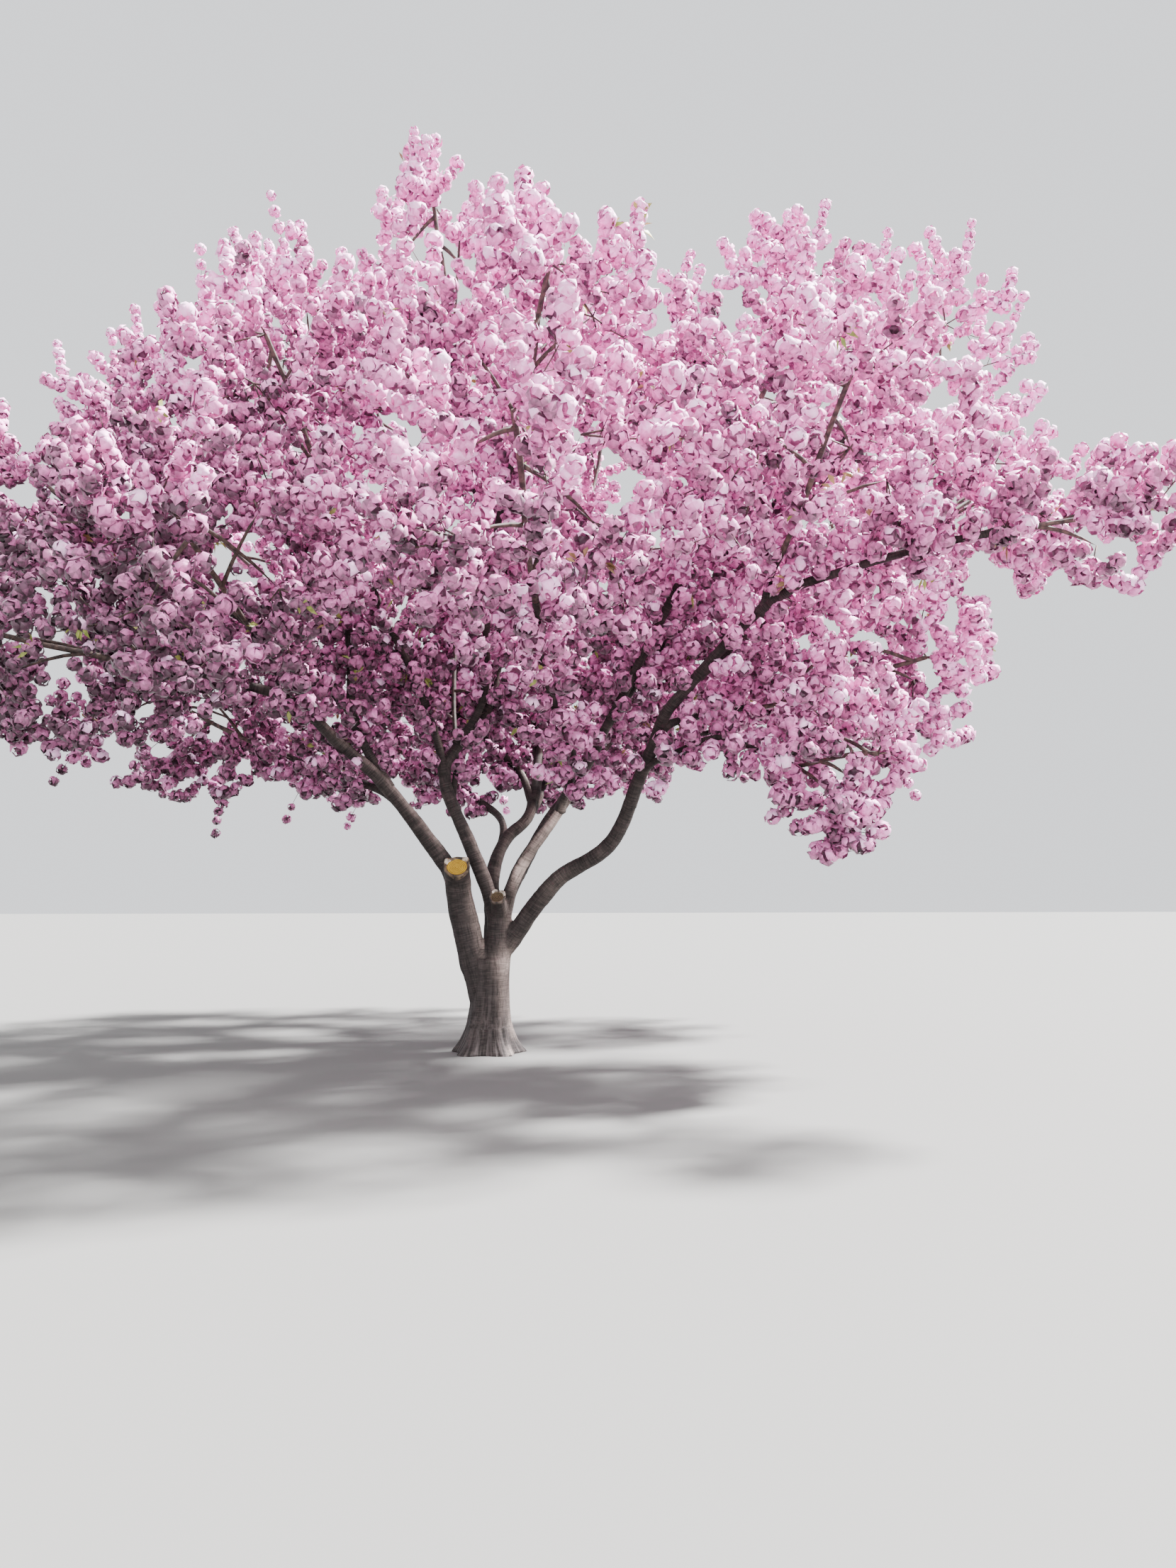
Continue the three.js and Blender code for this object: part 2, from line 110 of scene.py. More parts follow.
# The boughs have their masses' names. Those that leave the trunk come first, by their routes. A side bough
# leaves another at a share of its length, and bows up by a share of its own.
boughs = {
    "leftLow": {
        "route": [[-255, 0, 1380], [-370, -25, 1700], [-580, -80, 2030], [-920, -200, 2480],
                  [-1350, -380, 2870], [-1900, -580, 3330]],
        "foot": 104,
        "tip": 38,
    },
    "top": {
        "route": [[95, 0, 1180], [0, 20, 1480], [-180, 30, 1980], [-440, 60, 2600], [-360, 100, 2930],
                  [0, 220, 3480], [200, 300, 5000]],
        "foot": 88,
        "tip": 34,
    },
    "rightUpper": {
        "route": [[115, 0, 1250], [215, -35, 1570], [400, -100, 1950], [680, -170, 2330], [1050, -420, 3000],
                  [1550, -950, 4000]],
        "foot": 76,
        "tip": 34,
    },
    "rightTip": {
        "route": [[160, 0, 1000], [630, -250, 1640], [1160, -520, 2030], [1450, -1000, 2800],
                  [1680, -1480, 3270], [2430, -2400, 3990], [3690, -3300, 4230]],
        "foot": 98,
        "tip": 20,
    },
    "back": {
        "route": [[20, 60, 900], [25, 240, 1330], [30, 390, 1720], [170, 540, 2060], [420, 820, 2380],
                  [520, 1500, 3050], [480, 2500, 4300]],
        "foot": 92,
        "tip": 36,
    },
    "rightBack": {
        "route": [[120, 40, 1150], [240, 190, 1600], [620, 560, 2300], [1400, 1100, 3300],
                  [2400, 1700, 4500]],
        "foot": 78,
        "tip": 34,
    },
}
sideColumns = ("from", "at", "bow", "foot", "tip")
sideRows = {
    "leftBackLow": ("leftLow", 0.42, 0.02, 46, 28),
    "leftShoulder": ("leftLow", 0.52, 0.05, 52, 28),
    "leftFront": ("leftLow", 0.72, 0.04, 40, 26),
    "left": ("leftShoulder", 0.3, 0.06, 40, 26),
    "leftHigh": ("leftShoulder", 0.52, 0.05, 36, 24),
    "leftUpper": ("top", 0.46, 0.05, 48, 28),
    "heart": ("top", 0.36, 0.03, 38, 26),
    "frontHigh": ("top", 0.6, 0.04, 46, 26),
    "topLeft": ("top", 0.75, 0.02, 36, 26),
    "front": ("rightUpper", 0.5, 0.05, 48, 28),
    "rightHigh": ("rightUpper", 0.7, 0.05, 46, 26),
    "frontRight": ("rightTip", 0.68, 0.04, 44, 26),
    "rightDroop": ("rightTip", 0.4, 0.16, 36, 20),
    "rightLow": ("rightTip", 0.48, 0.06, 44, 26),
    "right": ("rightTip", 0.6, 0.06, 46, 26),
    "heartRight": ("rightBack", 0.36, 0.03, 40, 26),
    "rightBackLow": ("rightBack", 0.45, 0.04, 46, 28),
    "topRight": ("rightBack", 0.56, 0.03, 44, 26),
    "backHigh": ("back", 0.68, 0.04, 46, 28),
    "backLow": ("back", 0.5, 0.05, 46, 28),
    "backLeftLow": ("back", 0.4, 0.05, 46, 28),
    "leftBack": ("back", 0.6, 0.05, 46, 28),
    "backLeftHigh": ("leftBack", 0.4, 0.03, 36, 26),
}
boughs.update({name: dict(zip(sideColumns, row)) for name, row in sideRows.items()})
# The source's rule. Lengths are millimetres, and shares are of the half sizes of a mass's space.
growth = {
    "seed": 1871,
    "gap": 0.3,
    "clear": 14,
    "room": 60,
    "taper": 0.8,
    "leave": 0.6,
    "leaveReach": 0.2,
    "bowAt": 0.6,
    "entry": 0.82,
    "crest": 0.5,
    "straight": 0.25,
    "coreCorners": 12,
    "twigs": 4,
    "twigFrom": 0.3,
    "twigTo": 0.9,
    "twigRise": 0.06,
    "twigFoot": 20,
    "twigTip": 10,
    "fork": 0.42,
    "tipLeast": 0.84,
    "tipMost": 1.02,
}

# The share of a unit course's rise past which it counts as upright.
steep = 0.9


# Unit vectors: each row divided by its length.
def unit(vectors):
    vectors = np.asarray(vectors, float)
    return vectors / np.maximum(np.linalg.norm(vectors, axis=-1, keepdims=True), tiny)


# A Catmull-Rom curve at share t of its points: between two points it is the cubic whose slope at each is
# half the way from the point before to the point after, and its ends are carried on straight.
def routePoint(points, t):
    ends = np.vstack([2 * points[0] - points[1], points, 2 * points[-1] - points[-2]])
    reached = np.clip(np.asarray(t, float), 0, 1) * (len(points) - 1)
    span = np.minimum(reached.astype(int), len(points) - 2)
    w = (reached - span)[..., None]
    a, b, c, d = (ends[span + k] for k in range(4))
    leaving = (c - a) / 2
    arriving = (d - b) / 2
    square = 3 * (c - b) - 2 * leaving - arriving
    cube = 2 * (b - c) + leaving + arriving
    return b + leaving * w + square * w**2 + cube * w**3


# The course of a route: the unit step between two points that stand close on either side of share t.
def routeCourse(points, t):
    step = 1e-4
    t = np.asarray(t, float)
    return unit(routePoint(points, np.minimum(t + step, 1)) - routePoint(points, np.maximum(t - step, 0)))


# Shares of a route at even lengths, from one length along it to another: lengths are summed over fine
# steps, and the shares read back from them.
def evenShares(points, fromLength, toLength, spacing, fineSteps=600):
    fine = np.linspace(0, 1, fineSteps + 1)
    steps = np.linalg.norm(np.diff(routePoint(points, fine), axis=0), axis=1)
    lengths = np.concatenate([[0], np.cumsum(steps)])
    toLength = min(toLength, lengths[-1])
    count = max(2, int(round((toLength - fromLength) / spacing)) + 1)
    along = np.linspace(fromLength, toLength, count)
    return np.interp(along, lengths, fine), along


# Normals carried along a course without twist: each is the last one with its part along the course removed.
def carriedNormals(courses):
    normal = np.cross(courses[0], up if abs(courses[0][2]) < steep else np.array([0.0, 1.0, 0.0]))
    normals = np.empty_like(courses)
    for ring, course in enumerate(courses):
        normal = unit(normal - course * normal.dot(course))
        normals[ring] = normal
    return normals


# Two directions across each course: one is square to it and to up, or to the x axis where the course is
# steep, and the other is square to both.
def acrossPair(courses):
    upright = np.abs(courses[..., 2:]) > steep
    first = unit(np.cross(courses, np.where(upright, [1.0, 0.0, 0.0], up)))
    return first, np.cross(courses, first)


# Directions round a course at some angles: cosine and sine shares of two unit directions across it.
def roundCourse(first, second, angle):
    return first * np.cos(angle)[..., None] + second * np.sin(angle)[..., None]


# Smooth noise from -1 to 1: a random value at each corner of a unit lattice, eased between the corners. A
# corner's place in the table of values is mixed from its whole numbers and the seed by large factors.
noiseTable = np.random.default_rng(growth["seed"]).uniform(-1, 1, 4096)
cornerFactors = (73856093, 19349663, 83492791)
seedFactor = 2654435


def smoothNoise(places, seed):
    cell = np.floor(places).astype(np.int64)
    ease = places - cell
    ease = ease * ease * (3 - 2 * ease)
    total = np.zeros(places.shape[:-1])
    for corner in np.ndindex(2, 2, 2):
        x, y, z = np.moveaxis((cell + np.array(corner)) * cornerFactors, -1, 0)
        mixed = x ^ y ^ z ^ (seed * seedFactor)
        value = noiseTable[(mixed ^ (mixed >> 13)) & (len(noiseTable) - 1)]
        total += value * np.prod(np.where(corner, ease, 1 - ease), axis=-1)
    return total


# Each pattern of noise has a seed. Limbs count on from theirs, and wander to their second side by a seed
# that is otherSide further on.
noiseSeeds = {
    "band": 3,
    "lump": 5,
    "crack": 7,
    "patch": 21,
    "stem": 11,
    "mainBough": 31,
    "sideBough": 131,
    "massStem": 300,
    "otherSide": 50,
}

# The space of each mass: an ellipsoid, and for each neighbour the plane that parts the two where their
# radii towards each other share the way between their middles.
massNames = list(masses)
middles = np.array([
    [m["reach"] * math.cos(math.radians(m["azimuth"])), m["reach"] * math.sin(math.radians(m["azimuth"])),
     m["height"]] for m in masses.values()
]) * mm
halves = np.array([[m["wide"], m["wide"], m["tall"]] for m in masses.values()]) * mm


# For one mass, the ways to the others and how far along each the plane lies: the distance is shared by the
# two radii on that way, less the clearance.
def partingPlanes(index):
    others = [k for k in range(len(masses)) if k != index]
    ways = middles[others] - middles[index]
    apart = np.linalg.norm(ways, axis=1)
    ways = unit(ways)
    own = 1 / np.linalg.norm(ways / halves[index], axis=1)
    their = 1 / np.linalg.norm(ways / halves[others], axis=1)
    return ways, apart * own / (own + their) - growth["clear"] * mm


planes = [partingPlanes(index) for index in range(len(masses))]


# Points a share of the way out of a mass in some directions, drawn in as far as its planes ask. The room
# between points and planes is one number, or a column with one for each point.
def pointOut(index, directions, share, room=growth["room"] * mm):
    out = unit(directions) * halves[index] * np.asarray(share)[..., None]
    ways, reach = planes[index]
    towards = out @ ways.T
    kept = np.where(towards > 0, np.maximum(0, reach - room) / np.maximum(towards, tiny), np.inf)
    return middles[index] + out * np.minimum(1, kept.min(axis=-1))[..., None]


# How deep points lie inside the planes of the masses that own them, in metres, and out of the ellipsoid
# as a share of its half sizes.
def insideOwn(points, owners):
    depth = np.empty(len(points))
    out = np.empty(len(points))
    for index in range(len(masses)):
        mine = owners == index
        ways, reach = planes[index]
        away = points[mine] - middles[index]
        depth[mine] = (reach - away @ ways.T).min(axis=1)
        out[mine] = np.linalg.norm(away / halves[index], axis=1)
    return depth, out


# The route of a side bough by the source's rule: it leaves its parent partly along it, and bows up on the
# way to the point where it enters its mass.
def sideRoute(bough, parent, index):
    start = routePoint(parent, bough["at"])
    goal = pointOut(index, (start - middles[index]) / halves[index], growth["entry"])
    span = np.linalg.norm(goal - start)
    course = routeCourse(parent, bough["at"])
    leave = unit(course + (unit(goal - start) - course) * growth["leave"])
    first = start + leave * span * growth["leaveReach"]
    second = start + (goal - start) * growth["bowAt"] + up * span * bough["bow"]
    return np.array([start, first, second, goal])


# The routes of all boughs. One that leaves the trunk has its own points and the point where it enters its
# mass, and comes before the boughs that leave it.
def boughRoutes():
    found = {}
    for name, bough in boughs.items():
        index = massNames.index(name)
        if "route" in bough:
            points = np.array(bough["route"], float) * mm
            goal = pointOut(index, (points[-1] - middles[index]) / halves[index], growth["entry"])
            found[name] = np.vstack([points, goal])
        else:
            found[name] = sideRoute(bough, found[bough["from"]], index)
    return found


routes = boughRoutes()
mainBoughs = [name for name, bough in boughs.items() if "route" in bough]


# Even random numbers by the source's own rule, so that the same twigs grow here: a state goes on by a
# fixed step, and each number is mixed from it by shifts and products of 32 bits.
stateStep = 0x6D2B79F5
wordMask = 0xFFFFFFFF


def evenRandom(seed, count):
    values = []
    state = seed
    for _ in range(count):
        state = (state + stateStep) & wordMask
        mixed = ((state ^ (state >> 15)) * (state | 1)) & wordMask
        mixed ^= (mixed + (((mixed ^ (mixed >> 7)) * (mixed | 61)) & wordMask)) & wordMask
        values.append(((mixed ^ (mixed >> 14)) & wordMask) / (wordMask + 1))
    return values


# Unit vectors by their height and their angle about the upright axis.
def sphereWay(z, angle):
    flat = np.sqrt(1 - z * z)
    return np.stack([flat * np.cos(angle), flat * np.sin(angle), z], -1)


# Directions spread evenly over the sphere: heights and angles go on by two steps whose remainders fill a
# square evenly, from a pair of first values.
spreadSteps = (0.7548776662, 0.569840291)


def spreadDirections(first, second, indices):
    z = 1 - 2 * ((first + spreadSteps[0] * indices) % 1)
    angle = 2 * math.pi * ((second + spreadSteps[1] * indices) % 1)
    return sphereWay(z, angle)


# A new object for a mesh, lamp or camera, put into the scene.
def linked(name, data):
    thing = bpy.data.objects.new(name, data)
    bpy.context.scene.collection.objects.link(thing)
    return thing


# One mesh from arrays of points and of faces, each array with its own number of corners and its slot.
def makeMesh(name, points, faceSets, materials, smooth=True):
    mesh = bpy.data.meshes.new(name)
    corners = np.concatenate([faces.ravel() for faces, slot in faceSets])
    counts = np.concatenate([np.full(len(faces), faces.shape[1]) for faces, slot in faceSets])
    slots = np.concatenate([np.broadcast_to(slot, len(faces)) for faces, slot in faceSets])
    mesh.vertices.add(len(points))
    mesh.vertices.foreach_set("co", np.asarray(points, np.float32).ravel())
    mesh.loops.add(len(corners))
    mesh.loops.foreach_set("vertex_index", corners.astype(np.int32))
    mesh.polygons.add(len(counts))
    mesh.polygons.foreach_set("loop_start", np.concatenate([[0], np.cumsum(counts)[:-1]]).astype(np.int32))
    mesh.polygons.foreach_set("material_index", slots.astype(np.int32))
    mesh.polygons.foreach_set("use_smooth", np.full(len(counts), smooth))
    mesh.update(calc_edges=True)
    for material in materials:
        mesh.materials.append(material)
    return linked(name, mesh)


# What a mesh's points hold under a key, as rows of three.
def readRows(mesh, key):
    values = np.empty(len(mesh.vertices) * 3, np.float32)
    mesh.vertices.foreach_get(key, values)
    return values.reshape(-1, 3)


# The quads between rings that follow each other: each joins two neighbours on one ring to the same two on
# the next.
def ringQuads(count, sides):
    ring = np.arange(count - 1)[:, None] * sides
    here = np.arange(sides)
    then = (here + 1) % sides
    return np.stack([ring + here, ring + then, ring + sides + then, ring + sides + here], -1).reshape(-1, 4)


# A finished piece joins the frame: it rides on the tree, stands for its nodes and prints its triangles.
def place(piece, nodes):
    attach(piece, "root")
    if nodes:
        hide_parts(*nodes)
    piece.data.calc_loop_triangles()
    print(f"{piece.name}: {len(piece.data.loop_triangles)} triangles")


# Linear colour from sRGB hex.
def hexColour(code):
    values = [int(code[i:i + 2], 16) / 255 for i in (1, 3, 5)]
    return tuple(v / 12.92 if v <= 0.04045 else ((v + 0.055) / 1.055) ** 2.4 for v in values) + (1.0,)


# Gives a node its inputs: a socket is linked, and any other value is set on the input itself.
def feed(node, inputs):
    for key, value in inputs.items():
        if isinstance(value, bpy.types.NodeSocket):
            node.id_data.links.new(value, node.inputs[key])
        else:
            node.inputs[key].default_value = value


# Adds a node to a material, with its settings, its inputs and the stops of a ramp.
def addNode(material, kind, inputs=None, stops=None, **settings):
    node = material.node_tree.nodes.new(kind)
    for key, value in settings.items():
        setattr(node, key, value)
    feed(node, inputs or {})
    if stops:
        elements = node.color_ramp.elements
        while len(elements) < len(stops):
            elements.new(0.5)
        for element, (position, colour) in zip(elements, stops):
            element.position = position
            element.color = hexColour(colour) if isinstance(colour, str) else (colour, colour, colour, 1)
    return node


# A material, with the shader that its surface starts from.
def newMaterial(name):
    material = bpy.data.materials.new(name)
    material.use_nodes = True
    return material, material.node_tree.nodes["Principled BSDF"]


# Cherry bark, grown and weathered, which the eye sees as matt, grey-brown and a little mauve, with paler
# bands of pores that run round the limb and shallow upright cracks, and a pale tint of painted sunlight.
# The attribute limbSpace holds the place round and along the limb in metres. A second attribute holds how
# much painted sunlight falls pale on a point, and how near the ground it is, where old bark greys and splits
# into upright streaks. Each pattern has its sizes in millimetres round and along the limb, and its detail
# and roughness. Below are the shares of bands and cracks in the tone, and their relief, with its height in
# metres.
barkPattern = {
    "band": ((110, 110, 11), 4, 0.6),
    "crack": ((16, 16, 130), 5, 0.65),
    "patch": ((160, 160, 160), 3, 0.5),
    "streak": ((30, 30, 300), 4, 0.5),
}
barkBlend = {
    "bandShare": 0.38,
    "crackShare": 0.8,
    "bandRelief": {"Strength": 0.5, "Distance": 0.004},
    "crackRelief": {"Strength": 0.6, "Distance": 0.005},
}


def cherryBark(name, dark, middle, pale, paintedSunlight, old):
    material, surface = newMaterial(name)
    space = addNode(material, "ShaderNodeAttribute", attribute_name="limbSpace").outputs["Vector"]
    pattern = {}
    for key, (spans, detail, roughness) in barkPattern.items():
        scaled = addNode(material, "ShaderNodeMapping",
                         {"Vector": space, "Scale": [1 / (span * mm) for span in spans]})
        noise = addNode(material, "ShaderNodeTexNoise",
                        {"Vector": scaled.outputs[0], "Scale": 1.0, "Detail": detail, "Roughness": roughness})
        pattern[key] = noise.outputs["Fac"]
    patchTone = addNode(material, "ShaderNodeValToRGB", {"Fac": pattern["patch"]},
                        [(0.3, dark), (0.55, middle), (0.75, pale)])
    bandTone = addNode(material, "ShaderNodeValToRGB", {"Fac": pattern["band"]}, [(0.42, dark), (0.62, pale)])
    crackMask = addNode(material, "ShaderNodeValToRGB", {"Fac": pattern["crack"]}, [(0.36, 0.35), (0.5, 1.0)])
    streakMask = addNode(material, "ShaderNodeValToRGB", {"Fac": pattern["streak"]},
                         [(0.42, 0.0), (0.62, 1.0)])
    banded = addNode(material, "ShaderNodeMix",
                     {0: barkBlend["bandShare"], 6: patchTone.outputs[0], 7: bandTone.outputs[0]},
                     data_type="RGBA")
    sunPaintAndAge = addNode(material, "ShaderNodeAttribute", attribute_name="sunPaintAndAge").outputs["Vector"]
    parts = addNode(material, "ShaderNodeSeparateXYZ", {0: sunPaintAndAge})
    oldShare = addNode(material, "ShaderNodeMath", {0: parts.outputs[1], 1: streakMask.outputs[0]},
                       operation="MULTIPLY")
    aged = addNode(material, "ShaderNodeMix",
                   {0: oldShare.outputs[0], 6: banded.outputs[2], 7: hexColour(old)}, data_type="RGBA")
    # Painted sunlight: a pale tint where the sun falls on the bark, broken by the bands of pores.
    paintedSunlightShare = addNode(material, "ShaderNodeMath", {0: parts.outputs[0], 1: pattern["band"]},
                            operation="MULTIPLY")
    sunned = addNode(material, "ShaderNodeMix",
                     {0: paintedSunlightShare.outputs[0], 6: aged.outputs[2], 7: hexColour(paintedSunlight)},
                     data_type="RGBA")
    cracked = addNode(material, "ShaderNodeMix",
                      {0: barkBlend["crackShare"], 6: sunned.outputs[2], 7: crackMask.outputs[0]},
                      data_type="RGBA", blend_type="MULTIPLY")
    bandBump = addNode(material, "ShaderNodeBump", {"Height": pattern["band"], **barkBlend["bandRelief"]})
    crackBump = addNode(material, "ShaderNodeBump",
                        {"Height": pattern["crack"], "Normal": bandBump.outputs[0],
                         **barkBlend["crackRelief"]})
    feed(surface, {"Base Color": cracked.outputs[2], "Normal": crackBump.outputs[0], "Roughness": 0.82,
                   "IOR": 1.45})
    return material


# A surface mottled at one size in millimetres: a ramp of two tones over noise, with relief that follows the
# noise by its strength and its height in metres, and the finish on the shader's own inputs.
def mottled(name, size, detail, stops, relief, finish):
    material, surface = newMaterial(name)
    coordinates = addNode(material, "ShaderNodeTexCoord").outputs["Object"]
    mottle = addNode(material, "ShaderNodeTexNoise",
                     {"Vector": coordinates, "Scale": 1 / (size * mm), "Detail": detail}).outputs["Fac"]
    tone = addNode(material, "ShaderNodeValToRGB", {"Fac": mottle}, stops)
    feed(surface, {"Base Color": tone.outputs[0], **finish})
    if relief:
        strength, distance = relief
        bump = addNode(material, "ShaderNodeBump",
                       {"Height": mottle, "Strength": strength, "Distance": distance})
        feed(surface, {"Normal": bump.outputs[0]})
    return material


# Young cherry wood of twigs and shoots, as grown: smoother and redder than bark, with grey patches about
# 45 mm apart.
def twigBark(name, dark, pale):
    return mottled(name, 45, 3.0, [(0.38, dark), (0.66, pale)], (0.3, 0.002), {"Roughness": 0.7})


# Cherry petals, as grown: thin, soft and matt, with a silky sheen and a faint change of tint from fold to
# fold. The folds are 30 mm apart, the width of a real petal, because finer ones would not show.
def cherryPetal(name, tint, shade):
    finish = {"Roughness": 0.55, "Sheen Weight": 0.2, "Sheen Roughness": 0.4}
    return mottled(name, 30, 2.0, [(0.35, shade), (0.6, tint)], (0.35, 0.006), finish)


# Young cherry leaves, as grown: bronze or yellow green, with a soft gloss, and mottled at 60 mm, a little
# over half a leaf.
def youngLeaf(name, tint, shade):
    return mottled(name, 60, 2.0, [(0.4, shade), (0.6, tint)], None, {"Roughness": 0.5})


# Cherry wood, sawn and weathered: rings about the pith, ochre or grey where it has stained. The UV map
# holds the place across the face in metres, and the grain is the size of rings and stains in millimetres,
# drawn coarser than real rings so that they show.
def sawnWood(name, dark, pale, grain=50):
    material, surface = newMaterial(name)
    across = addNode(material, "ShaderNodeTexCoord").outputs["UV"]
    scale = 1 / (grain * mm)
    rings = addNode(material, "ShaderNodeTexWave",
                    {"Vector": across, "Scale": scale, "Distortion": 2.0, "Detail": 2.0},
                    wave_type="RINGS", rings_direction="Z")
    stain = addNode(material, "ShaderNodeTexNoise", {"Vector": across, "Scale": scale, "Detail": 4.0})
    both = addNode(material, "ShaderNodeMix", {0: 0.6, 2: rings.outputs["Fac"], 3: stain.outputs["Fac"]})
    tone = addNode(material, "ShaderNodeValToRGB", {"Fac": both.outputs[0]}, [(0.3, dark), (0.6, pale)])
    bump = addNode(material, "ShaderNodeBump",
                   {"Height": rings.outputs["Fac"], "Strength": 0.4, "Distance": 0.002})
    feed(surface, {"Base Color": tone.outputs[0], "Normal": bump.outputs[0], "Roughness": 0.75})
    return material


barkTonesAndSunPaint = {
    "dark": "#181312",
    "middle": "#2B2423",
    "pale": "#4F4442",
    # The pale tint below is painted sunlight, laid where the sun falls on the bark.
    "paintedSunlight": "#D6C0B6",
    "old": "#5B5251",
}
twigFinish = {"dark": "#2A1F1C", "pale": "#5A4840"}
barkMaterial = cherryBark("cherryBark", **barkTonesAndSunPaint)
twigMaterial = twigBark("cherryTwigBark", **twigFinish)


# The rings of a limb: places, courses, normals, radii and lengths along it at even steps. The radius goes
# from foot to tip by the share of the route to the taper's power. The course wanders a little, by smooth
# noise along the limb that fades out at both ends.
limbForm = {
    "ringStep": 0.045,
    "wander": 0.014,
    "wanderLength": 0.42,
    "wanderFade": 0.5,
    "collar": 0.3,
    "collarFade": 0.09,
}


def limbRings(points, foot, tip, fromLength, toLength, seed, collar=False):
    shares, along = evenShares(points, fromLength, toLength, limbForm["ringStep"])
    radii = (foot + (tip - foot) * shares ** growth["taper"]) * mm
    courses = routeCourse(points, shares)
    normals = carriedNormals(courses)
    sides = np.cross(courses, normals)
    total = evenShares(points, 0, np.inf, 1.0)[1][-1]
    fade = np.clip(np.minimum(along, total - along) / limbForm["wanderFade"], 0, 1)
    steps = np.stack([along / limbForm["wanderLength"], np.zeros_like(along), np.zeros_like(along)], -1)
    places = routePoint(points, shares)
    for way, waySeed in ((normals, seed), (sides, seed + noiseSeeds["otherSide"])):
        places = places + way * (limbForm["wander"] * fade * smoothNoise(steps, waySeed))[:, None]
    if collar:
        radii = radii * (1 + limbForm["collar"] * np.exp(-along / limbForm["collarFade"]))
    return {"places": places, "courses": courses, "normals": normals, "sides": sides, "radii": radii,
            "along": along}


# The rings of a whole bough, without its collar.
def plainRings(name):
    return limbRings(routes[name], boughs[name]["foot"], boughs[name]["tip"], 0, np.inf, 0)


# The relief of bark in metres, from the place round and along a limb: bands that run round it, lumps,
# and upright cracks that show on the thick old wood.
reliefForm = {
    "band": 0.0026,
    "bandSize": (0.2, 0.2, 0.036),
    "lump": 0.009,
    "lumpSize": 0.13,
    "crack": 0.008,
    "crackSize": (0.045, 0.045, 0.28),
    "crackEdge": 0.25,
    "stout": 0.1,
}


def barkRelief(space, radii, old):
    band = smoothNoise(space / reliefForm["bandSize"], noiseSeeds["band"])
    lump = smoothNoise(space / reliefForm["lumpSize"], noiseSeeds["lump"])
    crack = smoothNoise(space / reliefForm["crackSize"], noiseSeeds["crack"])
    stout = np.minimum(1, radii / reliefForm["stout"])
    relief = reliefForm["band"] * band + reliefForm["lump"] * lump
    cracks = reliefForm["crack"] * np.maximum(0, 1 - np.abs(crack) / reliefForm["crackEdge"])
    return stout * relief - old * cracks


# A closed tube on the rings of a limb: rings of points at the radius about each place, a point in the
# middle of each end, quads between rings and a fan at each end.
def tube(rings, sides, relief=True):
    angle = 2 * math.pi * np.arange(sides) / sides
    around = roundCourse(rings["normals"][:, None], rings["sides"][:, None], angle)
    radii = np.repeat(rings["radii"][:, None], sides, 1)
    lengths = np.repeat(rings["along"][:, None], sides, 1)
    space = np.stack([radii * np.cos(angle), radii * np.sin(angle), lengths], -1)
    if relief:
        radii = radii + barkRelief(space, radii, 0)
    points = rings["places"][:, None] + around * radii[..., None]
    count = len(rings["places"])
    here = np.arange(sides)
    then = (here + 1) % sides
    last = (count - 1) * sides
    footPole = count * sides
    fans = np.concatenate([
        np.stack([np.full(sides, footPole), then, here], -1),
        np.stack([np.full(sides, footPole + 1), last + here, last + then], -1),
    ])
    points = np.vstack([points.reshape(-1, 3), rings["places"][[0, -1]]])
    ends = np.stack([np.zeros(2), np.zeros(2), rings["along"][[0, -1]]], -1)
    return points, ringQuads(count, sides), fans, np.vstack([space.reshape(-1, 3), ends])


# Several tubes as one: points stacked, and faces moved on by the number of points before them.
def joinTubes(tubes):
    starts = np.cumsum([0] + [len(part[0]) for part in tubes[:-1]])
    points = np.vstack([part[0] for part in tubes])
    quads, fans = (np.vstack([part[k] + start for part, start in zip(tubes, starts)]) for k in (1, 2))
    return points, quads, fans


# The sum at each place of some pools, each with its middle, its reach and its strength, which fades by a
# bell curve.
def pooled(places, pools):
    total = np.zeros(len(places))
    for middle, reach, strength in pools:
        total += strength * np.exp(-(np.linalg.norm(places - middle, axis=1) / reach) ** 2)
    return total


# Painted sunlight and age on the bark: a pale tint stands for the sun in patches where the bark faces it,
# and more in a few spots on two of the lower boughs and on the bole, where the sun comes through. The bark
# grows old towards the ground.
sunPaintAndAgeForm = {
    "sun": (0.85, -0.25, 0.45),
    "patchGain": 2.2,
    "patchSize": 0.3,
    "spotSun": (0.6, -0.65, 0.45),
    "spots": [
        ((0.29, -0.08, 1.77), 0.14, 4.5),
        ((0.44, -0.12, 2.03), 0.12, 1.6),
        ((0.59, -0.16, 2.27), 0.17, 3.4),
        ((0.62, -0.24, 1.66), 0.18, 0.6),
        ((0.2, -0.1, 0.86), 0.14, 1.5),
    ],
    "oldFade": 0.45,
}


# How old bark is at some points: one at the ground, falling off upwards by the share oldFade.
def oldness(points):
    return np.exp(-np.maximum(points[:, 2], 0) / sunPaintAndAgeForm["oldFade"])


